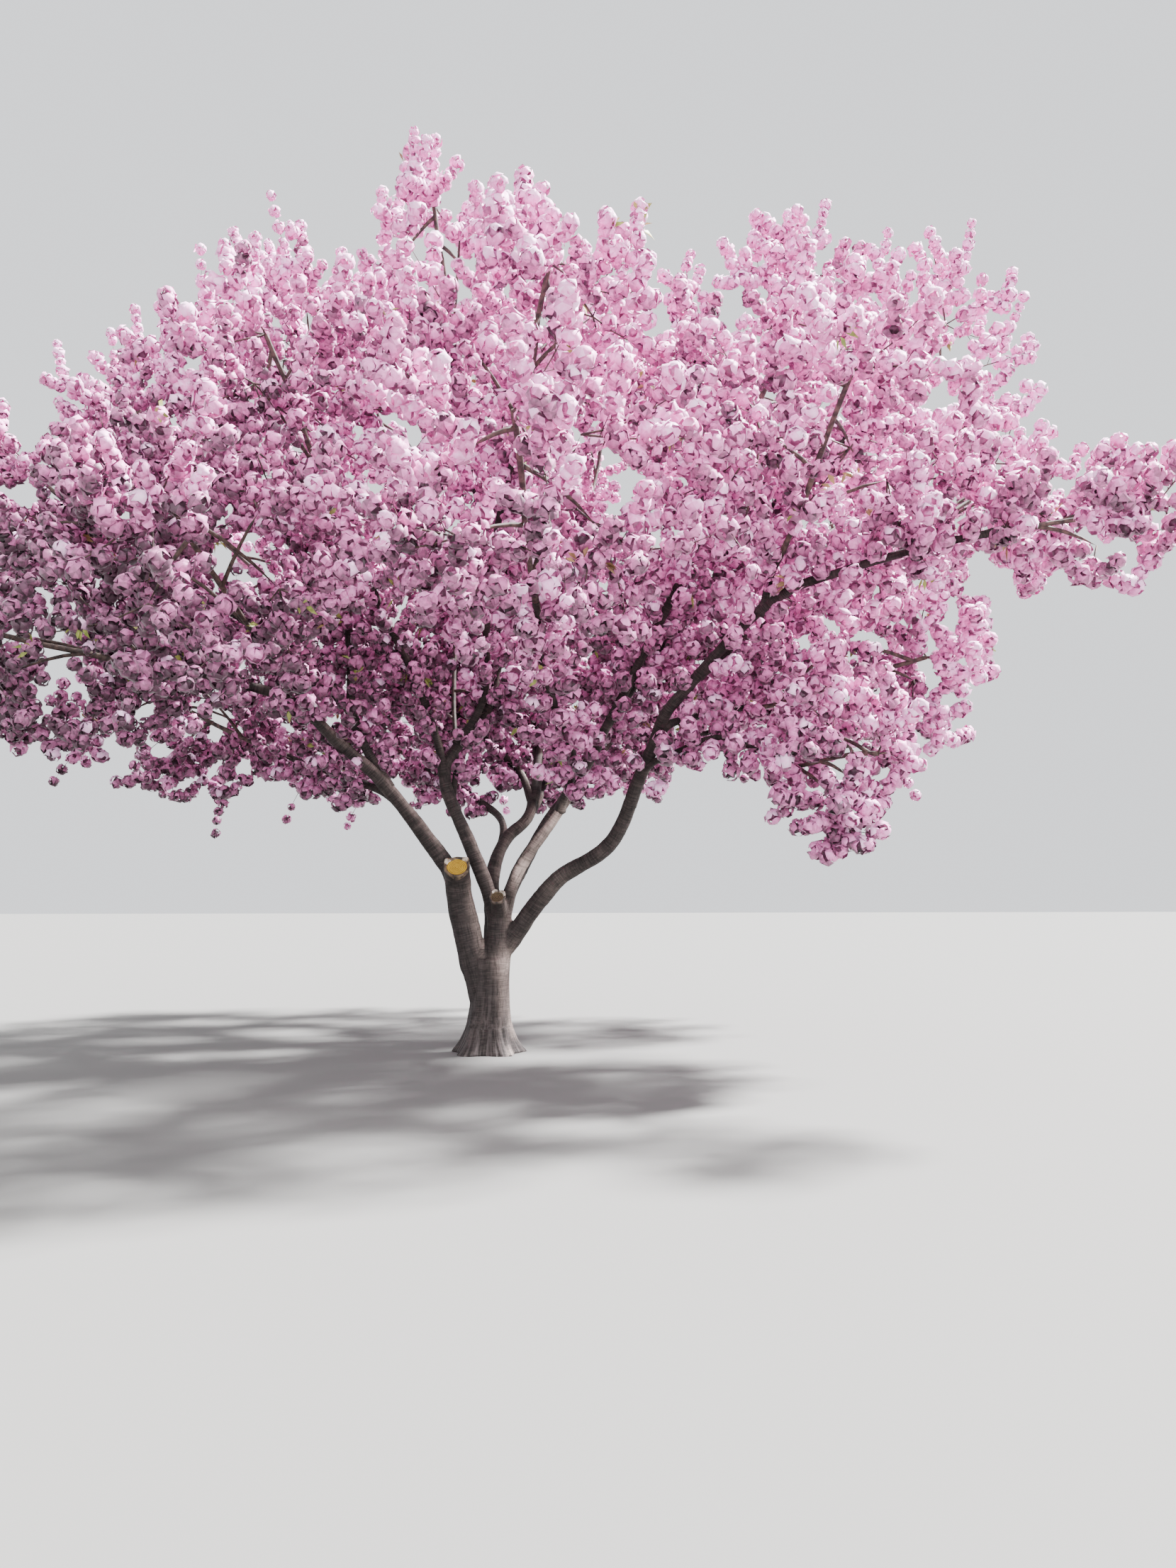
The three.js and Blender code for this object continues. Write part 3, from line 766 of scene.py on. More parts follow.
# What the bark's material reads at each point: its place on the limb, how much painted sunlight falls pale
# there, and how old it is there.
def storeBark(mesh, space):
    points = readRows(mesh, "co")
    normals = readRows(mesh, "normal")
    # Painted sunlight: the sides that face the sun are paler in patches, and a few spots where the sun comes
    # through are paler still.
    facing = np.maximum(0, normals @ unit(sunPaintAndAgeForm["sun"]))
    patchNoise = smoothNoise(points / sunPaintAndAgeForm["patchSize"], noiseSeeds["patch"])
    patches = np.clip(sunPaintAndAgeForm["patchGain"] * patchNoise, 0, 1)
    spots = pooled(points, sunPaintAndAgeForm["spots"]) * np.maximum(0, normals @ unit(sunPaintAndAgeForm["spotSun"]))
    sunPaintAndAge = np.stack([facing**3 * patches + spots, oldness(points), np.zeros(len(points))], -1)
    for name, values in (("limbSpace", space), ("sunPaintAndAge", sunPaintAndAge)):
        attribute = mesh.attributes.new(name, "FLOAT_VECTOR", "POINT")
        attribute.data.foreach_set("vector", np.asarray(values, np.float32).ravel())


# The trunk's skin: closed tubes for the bole, the stems, the stub and the lower boughs are fused by a voxel
# remesh, smoothed, and moved along their normals by the relief. The relief is less where limbs meet.
trunkForm = {
    "boleRings": 22,
    "sides": 28,
    "boughLength": 2.0,
    "joint": 0.06,
    "ridgeFades": 2,
    "ridgeTurn": 1,
    "voxel": 0.014,
    "smooths": 6,
    "smoothShare": 0.5,
    "meetReach": 0.05,
    "meetRelief": 0.25,
    "sawnReach": 1.4,
    "sawnUnder": 0.004,
    "groundVoxels": 0.6,
}


# The bole's rings: the waist, with a flare at the foot that fades upwards.
def boleRings():
    heights = np.linspace(0, bole["height"] * mm, trunkForm["boleRings"])
    places = np.stack([bole["lean"] * mm * heights / heights[-1], 0 * heights, heights], -1)
    radii = (bole["waist"] + bole["flare"] * np.exp(-heights / (bole["flareFade"] * mm))) * mm
    normals, sides, courses = (np.tile(axis, (len(heights), 1)) for axis in np.eye(3))
    return {"places": places, "courses": courses, "normals": normals, "sides": sides, "radii": radii,
            "along": heights}


# Each limb wanders by a seed of its own, which the trunk's skin and the bough's skin share.
def boughSeed(name):
    if name in mainBoughs:
        return noiseSeeds["mainBough"] + mainBoughs.index(name)
    return noiseSeeds["sideBough"] + massNames.index(name)


# The rings of all that is fused: the bole, the stems and the stub, and the lower boughs.
def trunkLimbs():
    parts = [boleRings()]
    for k, stem in enumerate(stems.values()):
        points = np.array(stem["route"], float) * mm
        parts.append(limbRings(points, stem["foot"], stem["tip"], 0, np.inf, noiseSeeds["stem"] + k))
    for name in mainBoughs:
        bough = boughs[name]
        parts.append(limbRings(routes[name], bough["foot"], bough["tip"], 0, trunkForm["boughLength"],
                               boughSeed(name)))
    return parts


# Slices that take a long array in blocks, so that tables of distances stay small.
def blocks(count, size=2000):
    return [slice(start, start + size) for start in range(0, count, size)]


# For each point, the limb whose skin is nearest: the ring with the least distance less radius. The place
# round and along it comes from the ring's frame, and the margin is how much nearer it is than any other.
def nearestLimb(points, parts):
    owner = np.concatenate([np.full(len(part["places"]), k) for k, part in enumerate(parts)])
    places, courses, normals, sides, radii, along = (
        np.concatenate([part[key] for part in parts])
        for key in ("places", "courses", "normals", "sides", "radii", "along"))
    space = np.empty((len(points), 3))
    reach = np.empty(len(points))
    margin = np.empty(len(points))
    for block in blocks(len(points)):
        skin = np.linalg.norm(points[block, None] - places, axis=2) - radii
        best = skin.argmin(axis=1)
        others = np.where(owner == owner[best][:, None], np.inf, skin)
        away = points[block] - places[best]
        angle = np.arctan2((away * sides[best]).sum(1), (away * normals[best]).sum(1))
        step = along[best] + (away * courses[best]).sum(1)
        space[block] = np.stack([radii[best] * np.cos(angle), radii[best] * np.sin(angle), step], -1)
        reach[block] = radii[best]
        margin[block] = others.min(axis=1) - skin.min(axis=1)
    return space, reach, margin


# The two faces where a limb was sawn off, each by the middle and the facing of its cut in millimetres. Its
# ears are the angles in degrees at which the callus has swollen pale, and how far each spreads in radians.
sawnFaces = {
    "sawnFaceLeft": {
        "middle": (-310, -165, 1775), "facing": (-5, -95, 85), "radius": 118,
        "dark": "#8A6A10", "pale": "#C9A431", "rim": "#7A6650", "ear": "#F0E6D6",
        "ears": ((-38, 0.34), (-140, 0.34)),
    },
    "sawnFaceStub": {
        "middle": (75, -215, 1490), "facing": (-15, -105, 90), "radius": 70,
        "dark": "#1E1710", "pale": "#5A4A30", "rim": "#6E5F54", "ear": "#EFE3D4",
        "ears": ((-160, 0.7), (-80, 0.4)),
    },
}


# The skin's points, with those that stand near a sawn face and over it pressed a little under it.
def pressedUnder(skin, form):
    away = skin - np.array(form["middle"]) * mm
    facing = unit(form["facing"])
    height = away @ facing + trunkForm["sawnUnder"]
    near = (np.linalg.norm(away, axis=1) < trunkForm["sawnReach"] * form["radius"] * mm) & (height > 0)
    return skin - facing * np.where(near, height, 0)[:, None]


def makeTrunk():
    parts = trunkLimbs()
    tubes = [tube(part, trunkForm["sides"], relief=False) for part in parts]
    points, quads, fans = joinTubes(tubes)
    # The bole's points, which come first, get the ridges of root round them.
    bolePoints = points[:len(tubes[0][0])]
    angle = np.arctan2(bolePoints[:, 1], bolePoints[:, 0])
    fade = np.exp(-bolePoints[:, 2] / (trunkForm["ridgeFades"] * bole["flareFade"] * mm))
    ridge = bole["ridge"] * fade * np.cos(bole["roots"] * angle - trunkForm["ridgeTurn"])
    bolePoints[:, :2] *= 1 + ridge[:, None]
    rough = makeMesh("trunkRough", points, [(quads, 0), (fans, 0)], [])
    remesh = rough.modifiers.new("fuse", "REMESH")
    remesh.mode = "VOXEL"
    remesh.voxel_size = trunkForm["voxel"]
    ease = rough.modifiers.new("ease", "SMOOTH")
    ease.factor = trunkForm["smoothShare"]
    ease.iterations = trunkForm["smooths"]
    fused = bpy.data.meshes.new_from_object(rough.evaluated_get(bpy.context.evaluated_depsgraph_get()))
    bpy.data.objects.remove(rough)
    skin = readRows(fused, "co").astype(float)
    space, reach, margin = nearestLimb(skin, parts)
    blend = np.clip(margin / trunkForm["meetReach"], trunkForm["meetRelief"], 1)
    relief = blend * barkRelief(space, reach, oldness(skin))
    skin = skin + readRows(fused, "normal") * relief[:, None]
    for form in sawnFaces.values():
        skin = pressedUnder(skin, form)
    skin[skin[:, 2] < trunkForm["groundVoxels"] * trunkForm["voxel"], 2] = 0
    fused.vertices.foreach_set("co", skin.astype(np.float32).ravel())
    storeBark(fused, space)
    fused.polygons.foreach_set("use_smooth", np.full(len(fused.polygons), True))
    fused.materials.clear()
    fused.materials.append(barkMaterial)
    fused.name = "trunkBark"
    fused.update()
    place(linked("trunkBark", fused), ["trunk"])


makeTrunk()

# The boughs' skin: a tube on each, with a collar where it leaves its parent. One that leaves the trunk
# starts a little inside the end of the fused skin.
boughForm = {"stoutSides": 14, "thinSides": 10, "stout": 60}


def makeBoughs():
    tubes = []
    for name, bough in boughs.items():
        fromLength = trunkForm["boughLength"] - trunkForm["joint"] if "route" in bough else 0
        rings = limbRings(routes[name], bough["foot"], bough["tip"], fromLength, np.inf, boughSeed(name),
                          collar="from" in bough)
        sides = boughForm["stoutSides"] if bough["foot"] > boughForm["stout"] else boughForm["thinSides"]
        tubes.append(tube(rings, sides))
    points, quads, fans = joinTubes(tubes)
    piece = makeMesh("boughBark", points, [(quads, 0), (fans, 0)], [barkMaterial])
    storeBark(piece.data, np.vstack([part[3] for part in tubes]))
    place(piece, ["bough_" + name for name in boughs])


makeBoughs()

# A disc sawn across a limb: rings from the middle out, whose shares of the radius and heights follow a
# profile that ends in a rolled callus, with some noise round it. The heights are those of a face whose
# radius is profileRadius. An ear swells the callus out and up by shares of the radius.
sawnForm = {
    "profile": [(0.001, 0.0), (0.3, 0.0), (0.55, 0.001), (0.75, 0.0), (0.84, 0.003), (0.93, 0.011),
                (1.0, 0.013), (1.06, 0.008), (1.08, -0.004), (1.04, -0.03)],
    "profileRadius": 0.1,
    "sideFrom": (0.0, 1.0, 0.2),
    "sides": 40,
    "waves": 1.5,
    "waveFrom": 0.5,
    "waveOut": 0.05,
    "waveLift": 0.5,
    "earFrom": 0.8,
    "earRise": 0.2,
    "earTo": 1.07,
    "earOut": 0.16,
    "earLift": 0.26,
    "earPale": 0.45,
    "callusRing": 4,
}


def makeSawnFace(name, form):
    facing = unit(form["facing"])
    side = unit(np.cross(facing, sawnForm["sideFrom"]))
    rise = np.cross(facing, side)
    sides = sawnForm["sides"]
    angle = 2 * math.pi * np.arange(sides) / sides
    share, height = np.hsplit(np.array(sawnForm["profile"]), 2)
    radius = form["radius"] * mm
    circle = np.stack([np.cos(angle), np.sin(angle), 0 * angle], -1)
    wave = smoothNoise(circle * sawnForm["waves"], form["radius"])
    out = share * radius * (1 + sawnForm["waveOut"] * wave * (share > sawnForm["waveFrom"]))
    lift = height * (1 + sawnForm["waveLift"] * wave) * radius / sawnForm["profileRadius"]
    swell = np.zeros_like(angle)
    for earAngle, spread in form["ears"]:
        turn = (angle - math.radians(earAngle) + math.pi) % (2 * math.pi) - math.pi
        swell = np.maximum(swell, np.exp(-(turn / spread) ** 2))
    swollen = swell * np.clip((share - sawnForm["earFrom"]) / sawnForm["earRise"], 0, 1)
    swollen = swollen * (share < sawnForm["earTo"])
    out = out + sawnForm["earOut"] * radius * swollen
    lift = lift + sawnForm["earLift"] * radius * swollen
    flat = np.stack([out * np.cos(angle), out * np.sin(angle)], -1)
    middle = np.array(form["middle"]) * mm
    points = middle + flat[..., :1] * side + flat[..., 1:] * rise + lift[..., None] * facing
    points = np.vstack([points.reshape(-1, 3), middle])
    count = len(share)
    here = np.arange(sides)
    quads = ringQuads(count, sides)[:, ::-1]
    fan = np.stack([here, (here + 1) % sides, np.full(sides, count * sides)], -1)
    onCallus = np.arange(count - 1) >= sawnForm["callusRing"]
    slots = onCallus[:, None] * np.where(swell > sawnForm["earPale"], 2, 1)
    materials = [
        sawnWood(name + "Wood", form["dark"], form["pale"]),
        twigBark(name + "Callus", barkTonesAndSunPaint["middle"], form["rim"]),
        twigBark(name + "Ear", form["rim"], form["ear"]),
    ]
    piece = makeMesh(name, points, [(quads, slots.ravel()), (fan, 0)], materials)
    flatPoints = np.vstack([flat.reshape(-1, 2), [[0.0, 0.0]]])
    corners = np.concatenate([quads.ravel(), fan.ravel()])
    layer = piece.data.uv_layers.new(name="UVMap")
    layer.data.foreach_set("uv", flatPoints[corners].astype(np.float32).ravel())
    place(piece, [])


for faceName, faceForm in sawnFaces.items():
    makeSawnFace(faceName, faceForm)

# Finer growth than the source's, by the same rule: axes run from the nearest fork to points spread over
# the mass, side shoots leave them in turn, and clusters of blossom sit along both. Where two masses meet,
# their growth stops at uneven depths, some of it a little across, so that no flat wall of blossom shows.
finer = {
    "axes": 25,
    "axesSlim": 19,
    "axesOf": {"rightTip": 12, "rightDroop": 13, "topLeft": 14, "top": 17, "heart": 18, "backHigh": 27,
               "backLeftHigh": 23, "left": 28, "leftLow": 28, "leftFront": 27},
    "pinchOf": {"rightDroop": 0.75},
    "rooms": (-0.12, 0.18),
    "crossing": (-0.12, 0.08),
    "lift": 0.06,
    "sag": -0.05,
    "sway": 0.05,
    "axisFoot": 0.0085,
    "axisTip": 0.004,
    "edge": 1.1,
    "outside": 0.02,
}
sideForm = {
    "shoots": 5,
    "from": 0.2,
    "to": 0.92,
    "jitter": 0.03,
    "forward": 0.55,
    "out": 0.8,
    "up": 0.25,
    "bow": 0.15,
    "length": 0.34,
    "longest": 1.1,
    "shorter": 0.5,
    "lengthChance": (0.8, 1.2),
    "foot": 0.0042,
    "tip": 0.0022,
}
spurForm = {
    "from": 0.3,
    "step": 0.055,
    "stout": 0.045,
    "forward": 0.45,
    "hangUnder": 3.1,
    "rises": (0.25, -0.4),
    "bow": 0.2,
    "low": 2.45,
    "lowChance": (-0.1, 0.3),
    "length": (0.16, 0.42),
}
endForm = {
    "sway": 0.22,
    "least": 0.15,
    "spireFrom": 0.3,
    "spireChance": 0.85,
    "spireOut": 0.3,
    "spireBow": 0.05,
    "spireLength": (0.32, 0.68),
    "spireTop": 8.35,
    "spireLow": 5.0,
    "whipFrom": -0.1,
    "whipChance": 0.5,
    "whipUnder": 4.2,
    "whipOut": 0.8,
    "whipDown": 0.75,
    "whipBow": -0.12,
    "whipLength": (0.2, 0.46),
}
# Where clusters sit, as shares of the axis or shoot, how far off the axes, how large they are, how closely
# they stand, and how clear they stay of limbs.
clusterPlaces = {
    "axis": (0.22, 1, 7),
    "axisJitter": 0.02,
    "offAxis": 0.05,
    "shoot": (0.5, 0.8, 1.04),
    "spur": (0.35, 0.7, 1.0),
    "spire": (0.3, 0.55, 0.78, 1.0),
    "whip": (0.68, 1.0),
    "radius": (0.076, 0.104),
    "endSize": 0.8,
    "cell": 0.09,
    "limbClear": 0.07,
    "limbClearShare": 1.1,
}
dice = np.random.default_rng(growth["seed"])
edgeDice = np.random.default_rng(growth["seed"] + 1)
golden = math.pi * (3 - math.sqrt(5))
firstTurn = (0, 6)
reachLow = np.array(cadLow) - finer["outside"] * np.subtract(cadHigh, cadLow)
reachHigh = np.array(cadHigh) + finer["outside"] * np.subtract(cadHigh, cadLow)


# Points brought back into the reach of the finer growth, a little outside the source's box.
def withinReach(points):
    return np.clip(points, reachLow, reachHigh)


# A bent shoot at share t: the parabola through its foot, its bend at the half way, and its tip.
def bentPoint(foot, bend, tip, t):
    control = 2 * bend - (foot + tip) / 2
    t = np.asarray(t)[..., None]
    return (1 - t) ** 2 * foot + 2 * t * (1 - t) * control + t**2 * tip


# The course of a bent shoot: the slope of the same parabola.
def bentCourse(foot, bend, tip, t):
    control = 2 * bend - (foot + tip) / 2
    t = np.asarray(t)[..., None]
    return unit(2 * (1 - t) * (control - foot) + 2 * t * (tip - control))


# Points of each of many bent shoots at some shares, which are the same for all or a row for each.
def alongShoots(bent, shares, read=bentPoint):
    foot, bend, tip = (ends[:, None] for ends in bent)
    return read(foot, bend, tip, shares)


# Many bent shoots as one mesh: a ring of sides at each share but the last, which is one point, and a fan
# over the foot.
def shootMesh(foot, bend, tip, footRadius, tipRadius, sides, shares):
    angle = 2 * math.pi * np.arange(sides) / sides
    rings = []
    for share in shares[:-1]:
        first, second = acrossPair(bentCourse(foot, bend, tip, share))
        radius = footRadius + (tipRadius - footRadius) * share
        around = roundCourse(first[:, None], second[:, None], angle)
        rings.append(bentPoint(foot, bend, tip, share)[:, None] + around * radius)
    count = len(rings)
    points = np.concatenate(rings + [tip[:, None], foot[:, None]], axis=1)
    here = np.arange(sides)
    then = (here + 1) % sides
    last = (count - 1) * sides
    tipFan = np.stack([last + here, last + then, np.full(sides, count * sides)], -1)
    footFan = np.stack([then, here, np.full(sides, count * sides + 1)], -1)
    step = np.arange(len(foot))[:, None, None] * points.shape[1]
    quads = (ringQuads(count, sides) + step).reshape(-1, 4)
    fans = (np.concatenate([tipFan, footFan]) + step).reshape(-1, 3)
    return points.reshape(-1, 3), quads, fans


# The stem and twigs of each mass by the source's rule, and the axes that leave their forks.
def growMass(index):
    name = massNames[index]
    dense = masses[name]["dense"]
    draws = evenRandom(growth["seed"] + index, growth["coreCorners"] + 2)
    first, second = draws[-2:] if dense else draws[:2]
    route = routes[name]
    inward = routeCourse(route, 1.0)
    start = routePoint(route, 1.0) + inward * growth["gap"] * mm
    crest = pointOut(index, (middles[index] - start) / halves[index], growth["crest"])
    turn = middles[index] + (crest - middles[index]) * growth["straight"]
    stem = np.array([start, start + inward * growth["straight"] * halves[index][0], turn, crest])
    twigTips = pointOut(index, spreadDirections(first, second, np.arange(growth["twigs"])), growth["fork"])
    twigFeet = routePoint(stem, np.linspace(growth["twigFrom"], growth["twigTo"], growth["twigs"]))
    twigLengths = np.linalg.norm(twigTips - twigFeet, axis=1, keepdims=True)
    twigBends = (twigFeet + twigTips) / 2 + up * growth["twigRise"] * twigLengths
    count = finer["axesOf"].get(name, finer["axes"] if dense else finer["axesSlim"])
    directions = spreadDirections(first, second, growth["twigs"] + np.arange(count))
    shares = dice.uniform(growth["tipLeast"], growth["tipMost"], count)
    shares = shares * (1 + finer["lift"] * np.maximum(0, directions[:, 2]))
    goals = pointOut(index, directions, shares, edgeDice.uniform(*finer["rooms"], (count, 1)))
    low = np.maximum(0, (middles[index][2] - goals[:, 2]) / halves[index][2])
    pinch = 1 - finer["pinchOf"].get(name, 0) * np.minimum(1, low)
    goals[:, :2] = middles[index][:2] + (goals[:, :2] - middles[index][:2]) * pinch[:, None]
    goals = withinReach(goals)
    forks = np.vstack([crest, twigTips])
    feet = forks[np.linalg.norm(forks - goals[:, None], axis=2).argmin(axis=1)]
    lengths = np.linalg.norm(goals - feet, axis=1, keepdims=True)
    sway = dice.normal(0, finer["sway"], (count, 3))
    bends = (feet + goals) / 2 + up * finer["sag"] * lengths + sway * lengths
    return {"stem": stem, "twigs": (twigFeet, twigBends, twigTips), "axes": (feet, bends, goals)}


# Spurs: short shoots that leave the upper boughs in turn by the golden angle, at even steps along them,
# and half as many where a bough is stout. They rise, or hang on the lower stretches.
def growSpurs():
    feet = []
    leave = []
    for name in boughs:
        rings = plainRings(name)
        along = np.arange(spurForm["from"], rings["along"][-1], spurForm["step"])
        ring = np.searchsorted(rings["along"], along).clip(0, len(rings["along"]) - 1)
        ring = ring[(rings["radii"][ring] < spurForm["stout"]) | (np.arange(len(ring)) % 2 == 0)]
        angle = golden * np.arange(len(ring)) + dice.uniform(*firstTurn)
        radial = roundCourse(rings["normals"][ring], rings["sides"][ring], angle)
        rise = np.where(rings["places"][ring][:, 2] > spurForm["hangUnder"], *spurForm["rises"])
        feet.append(rings["places"][ring])
        leave.append(unit(radial + spurForm["forward"] * rings["courses"][ring] + rise[:, None] * up))
    feet = np.vstack(feet)
    leave = np.vstack(leave)
    high = feet[:, 2] > spurForm["low"] + dice.uniform(*spurForm["lowChance"], len(feet))
    feet = feet[high]
    leave = leave[high]
    lengths = dice.uniform(*spurForm["length"], len(feet))[:, None]
    return feet, feet + leave * lengths / 2, feet + (leave + spurForm["bow"] * up) * lengths


# Spires stand on the tips of the highest axes of the slim masses, and whips hang out and down from the
# tips of the lowest axes of the low ones: each goes on from its tip, bent a little.
def growEnds(tips, owners):
    dense = np.array([bool(mass["dense"]) for mass in masses.values()])[owners]
    slim = ~dense & (middles[owners][:, 2] > endForm["spireLow"])
    rise = (tips[:, 2] - middles[owners][:, 2]) / halves[owners][:, 2]
    chance = dice.uniform(size=len(tips))
    outward = unit(tips * [1, 1, 0])
    spire = slim & (rise > endForm["spireFrom"]) & (chance < endForm["spireChance"])
    whip = dense & (rise < endForm["whipFrom"]) & (tips[:, 2] < endForm["whipUnder"])
    whip = whip & (chance < endForm["whipChance"])
    spireWays = up + endForm["spireOut"] * outward
    whipWays = endForm["whipOut"] * outward - endForm["whipDown"] * up
    ways = np.where(spire[:, None], spireWays, whipWays)
    ways = unit(ways + dice.normal(0, endForm["sway"], ways.shape))
    spireLengths = dice.uniform(*endForm["spireLength"], len(tips))
    whipLengths = dice.uniform(*endForm["whipLength"], len(tips))
    lengths = np.where(spire, np.minimum(spireLengths, endForm["spireTop"] - tips[:, 2]), whipLengths)
    bow = np.where(spire, endForm["spireBow"], endForm["whipBow"])[:, None] * up
    ends = withinReach(tips + (ways + bow) * lengths[:, None])
    bends = tips + ways * lengths[:, None] / 2
    kept = (spire | whip) & (lengths > endForm["least"])
    return (tips[kept], bends[kept], ends[kept]), spire[kept]


# Side shoots: each turns on from the last by the golden angle. Those that would reach too far out of the
# space of their mass are left out.
def growSides(axes, owners):
    at = np.linspace(sideForm["from"], sideForm["to"], sideForm["shoots"])
    at = at + dice.normal(0, sideForm["jitter"], (len(owners), 1))
    feet = alongShoots(axes, at)
    courses = alongShoots(axes, at, bentCourse)
    angle = golden * np.arange(sideForm["shoots"]) + dice.uniform(0, 2 * math.pi, (len(owners), 1))
    radial = roundCourse(*acrossPair(courses), angle)
    leave = unit(sideForm["forward"] * courses + sideForm["out"] * radial + sideForm["up"] * up)
    lengths = sideForm["length"] * (sideForm["longest"] - sideForm["shorter"] * at)
    lengths = (lengths * dice.uniform(*sideForm["lengthChance"], at.shape))[..., None]
    tips = withinReach(feet + (leave + sideForm["bow"] * up) * lengths)
    shoots = [ends.reshape(-1, 3) for ends in (feet, feet + leave * lengths / 2, tips)]
    depth, out = insideOwn(shoots[2], np.repeat(owners, sideForm["shoots"]))
    kept = (depth > edgeDice.uniform(*finer["crossing"], len(depth))) & (out < finer["edge"])
    return [ends[kept] for ends in shoots]


# The whole crown: its masses, its axes, its shoots, and for each cluster of blossom its middle, the number
# of its spray, which is an axis or a shoot, and its size. Each spray has a place of its own.
def growCrown():
    crown = [growMass(index) for index in range(len(masses))]
    axes = [np.vstack([mass["axes"][k] for mass in crown]) for k in range(3)]
    owners = np.repeat(np.arange(len(crown)), [len(mass["axes"][0]) for mass in crown])
    # Clusters along the axes are set off them a little to all sides.
    shares = np.tile(np.linspace(*clusterPlaces["axis"]), (len(owners), 1))
    shares = shares + dice.normal(0, clusterPlaces["axisJitter"], shares.shape)
    shares[:, -1] = 1
    onAxis = alongShoots(axes, shares)
    off = unit(dice.normal(size=onAxis.shape)) * clusterPlaces["offAxis"]
    onAxis = onAxis + off * (shares < 1)[..., None]
    sides = growSides(axes, owners)
    spurs = growSpurs()
    ends, spire = growEnds(axes[2], owners)
    counts = [len(owners), len(sides[0]), len(spurs[0]), len(ends[0])]
    ofAxis, ofSide, ofSpur, ofEnd = np.split(np.arange(sum(counts)), np.cumsum(counts)[:-1])
    spires = [rows[spire] for rows in ends]
    whips = [rows[~spire] for rows in ends]
    sets = [
        (onAxis, ofAxis, 1),
        (alongShoots(sides, clusterPlaces["shoot"]), ofSide, 1),
        (alongShoots(spurs, clusterPlaces["spur"]), ofSpur, 1),
        (alongShoots(spires, clusterPlaces["spire"]), ofEnd[spire], clusterPlaces["endSize"]),
        (alongShoots(whips, clusterPlaces["whip"]), ofEnd[~spire], clusterPlaces["endSize"]),
    ]
    centres = np.vstack([places.reshape(-1, 3) for places, spray, size in sets])
    sprays = np.concatenate([np.repeat(spray, places.shape[1]) for places, spray, size in sets])
    sizes = np.concatenate([np.full(len(spray) * places.shape[1], size) for places, spray, size in sets])
    shoots = [np.vstack(parts) for parts in zip(sides, spurs, ends)]
    sprayPlaces = np.vstack([(axes[1] + axes[2]) / 2, shoots[2]])
    return crown, axes, shoots, centres, sprays, sizes, sprayPlaces


crown, axes, shoots, centres, sprays, sizes, sprayPlaces = growCrown()
print(f"crown: {len(axes[0])} axes, {len(shoots[0])} side shoots, {len(centres)} clusters")

# Stems, twigs, axes and shoots as one piece: how many sides each has, and the shares of the length at which
# the finer ones have rings.
twigForm = {
    "stemSides": 7,
    "twigSides": 6,
    "axisSides": 4,
    "shootSides": 3,
    "quarters": (0, 0.25, 0.5, 0.75, 1),
    "halves": (0, 0.5, 1),
}


def makeTwigs():
    tubes = []
    for index, mass in enumerate(crown):
        rings = limbRings(mass["stem"], boughs[massNames[index]]["tip"], growth["twigFoot"], 0, np.inf,
                          noiseSeeds["massStem"] + index)
        tubes.append(tube(rings, twigForm["stemSides"]))
    twigs = [np.vstack([mass["twigs"][k] for mass in crown]) for k in range(3)]
    quarters = twigForm["quarters"]
    tubes += [
        shootMesh(*twigs, growth["twigFoot"] * mm, growth["twigTip"] * mm, twigForm["twigSides"], quarters),
        shootMesh(*axes, finer["axisFoot"], finer["axisTip"], twigForm["axisSides"], quarters),
        shootMesh(*shoots, sideForm["foot"], sideForm["tip"], twigForm["shootSides"], twigForm["halves"]),
    ]
    points, quads, fans = joinTubes(tubes)
    piece = makeMesh("twigs", points, [(quads, 0), (fans, 0)], [twigMaterial])
    place(piece, ["blossom_" + name for name in masses])


makeTwigs()


# The places along the boughs, and how far from each the clusters stay.
def limbSamples():
    limbs = [plainRings(name) for name in boughs]
    radii = np.concatenate([rings["radii"] for rings in limbs])
    clears = radii + np.minimum(clusterPlaces["limbClear"], clusterPlaces["limbClearShare"] * radii)
    return np.vstack([rings["places"] for rings in limbs]), clears


# Clusters are thinned to one in each cell of a lattice, and those that would hide or touch a limb go. The
# numbers of those that stay come back.
def thinned(places):
    order = dice.permutation(len(places))
    cells = np.floor(places[order] / clusterPlaces["cell"]).astype(int)
    chosen = order[np.unique(cells, axis=0, return_index=True)[1]]
    places = places[chosen]
    limbPlaces, clears = limbSamples()
    free = (places == withinReach(places)).all(axis=1)
    for block in blocks(len(places)):
        distance = np.linalg.norm(places[block, None] - limbPlaces, axis=2)
        free[block] &= (distance > clears).all(axis=1)
    return chosen[free]


staying = thinned(centres)
centres, sprays, sizes = centres[staying], sprays[staying], sizes[staying]
print(f"clusters kept: {len(centres)}")

# A cluster: a small heart, which takes its piece's deepest tint as painted shade in the gaps between the
# flowers, and double flowers about it that face outwards. Each flower is a ruffled dome: a point at its
# crown, and a ring about it of petal tips and of the notches between them, which lie a little further in and
# higher. Lengths are shares of the cluster's radius.
clusterForm = {
    "forms": 6,
    "flowers": 7,
    "petals": 4,
    "crown": 0.84,
    "notchUp": 0.62,
    "notchOut": 0.4,
    "tipUp": 0.5,
    "tipOut": 0.56,
    "ruffle": 0.09,
    "heart": 0.72,
    "domeFrom": 0.3,
}
heartCorners = unit([[1, 1, 1], [1, -1, -1], [-1, 1, -1], [-1, -1, 1]])
heartFaces = np.array([[0, 1, 2], [0, 2, 3], [0, 3, 1], [1, 3, 2]])


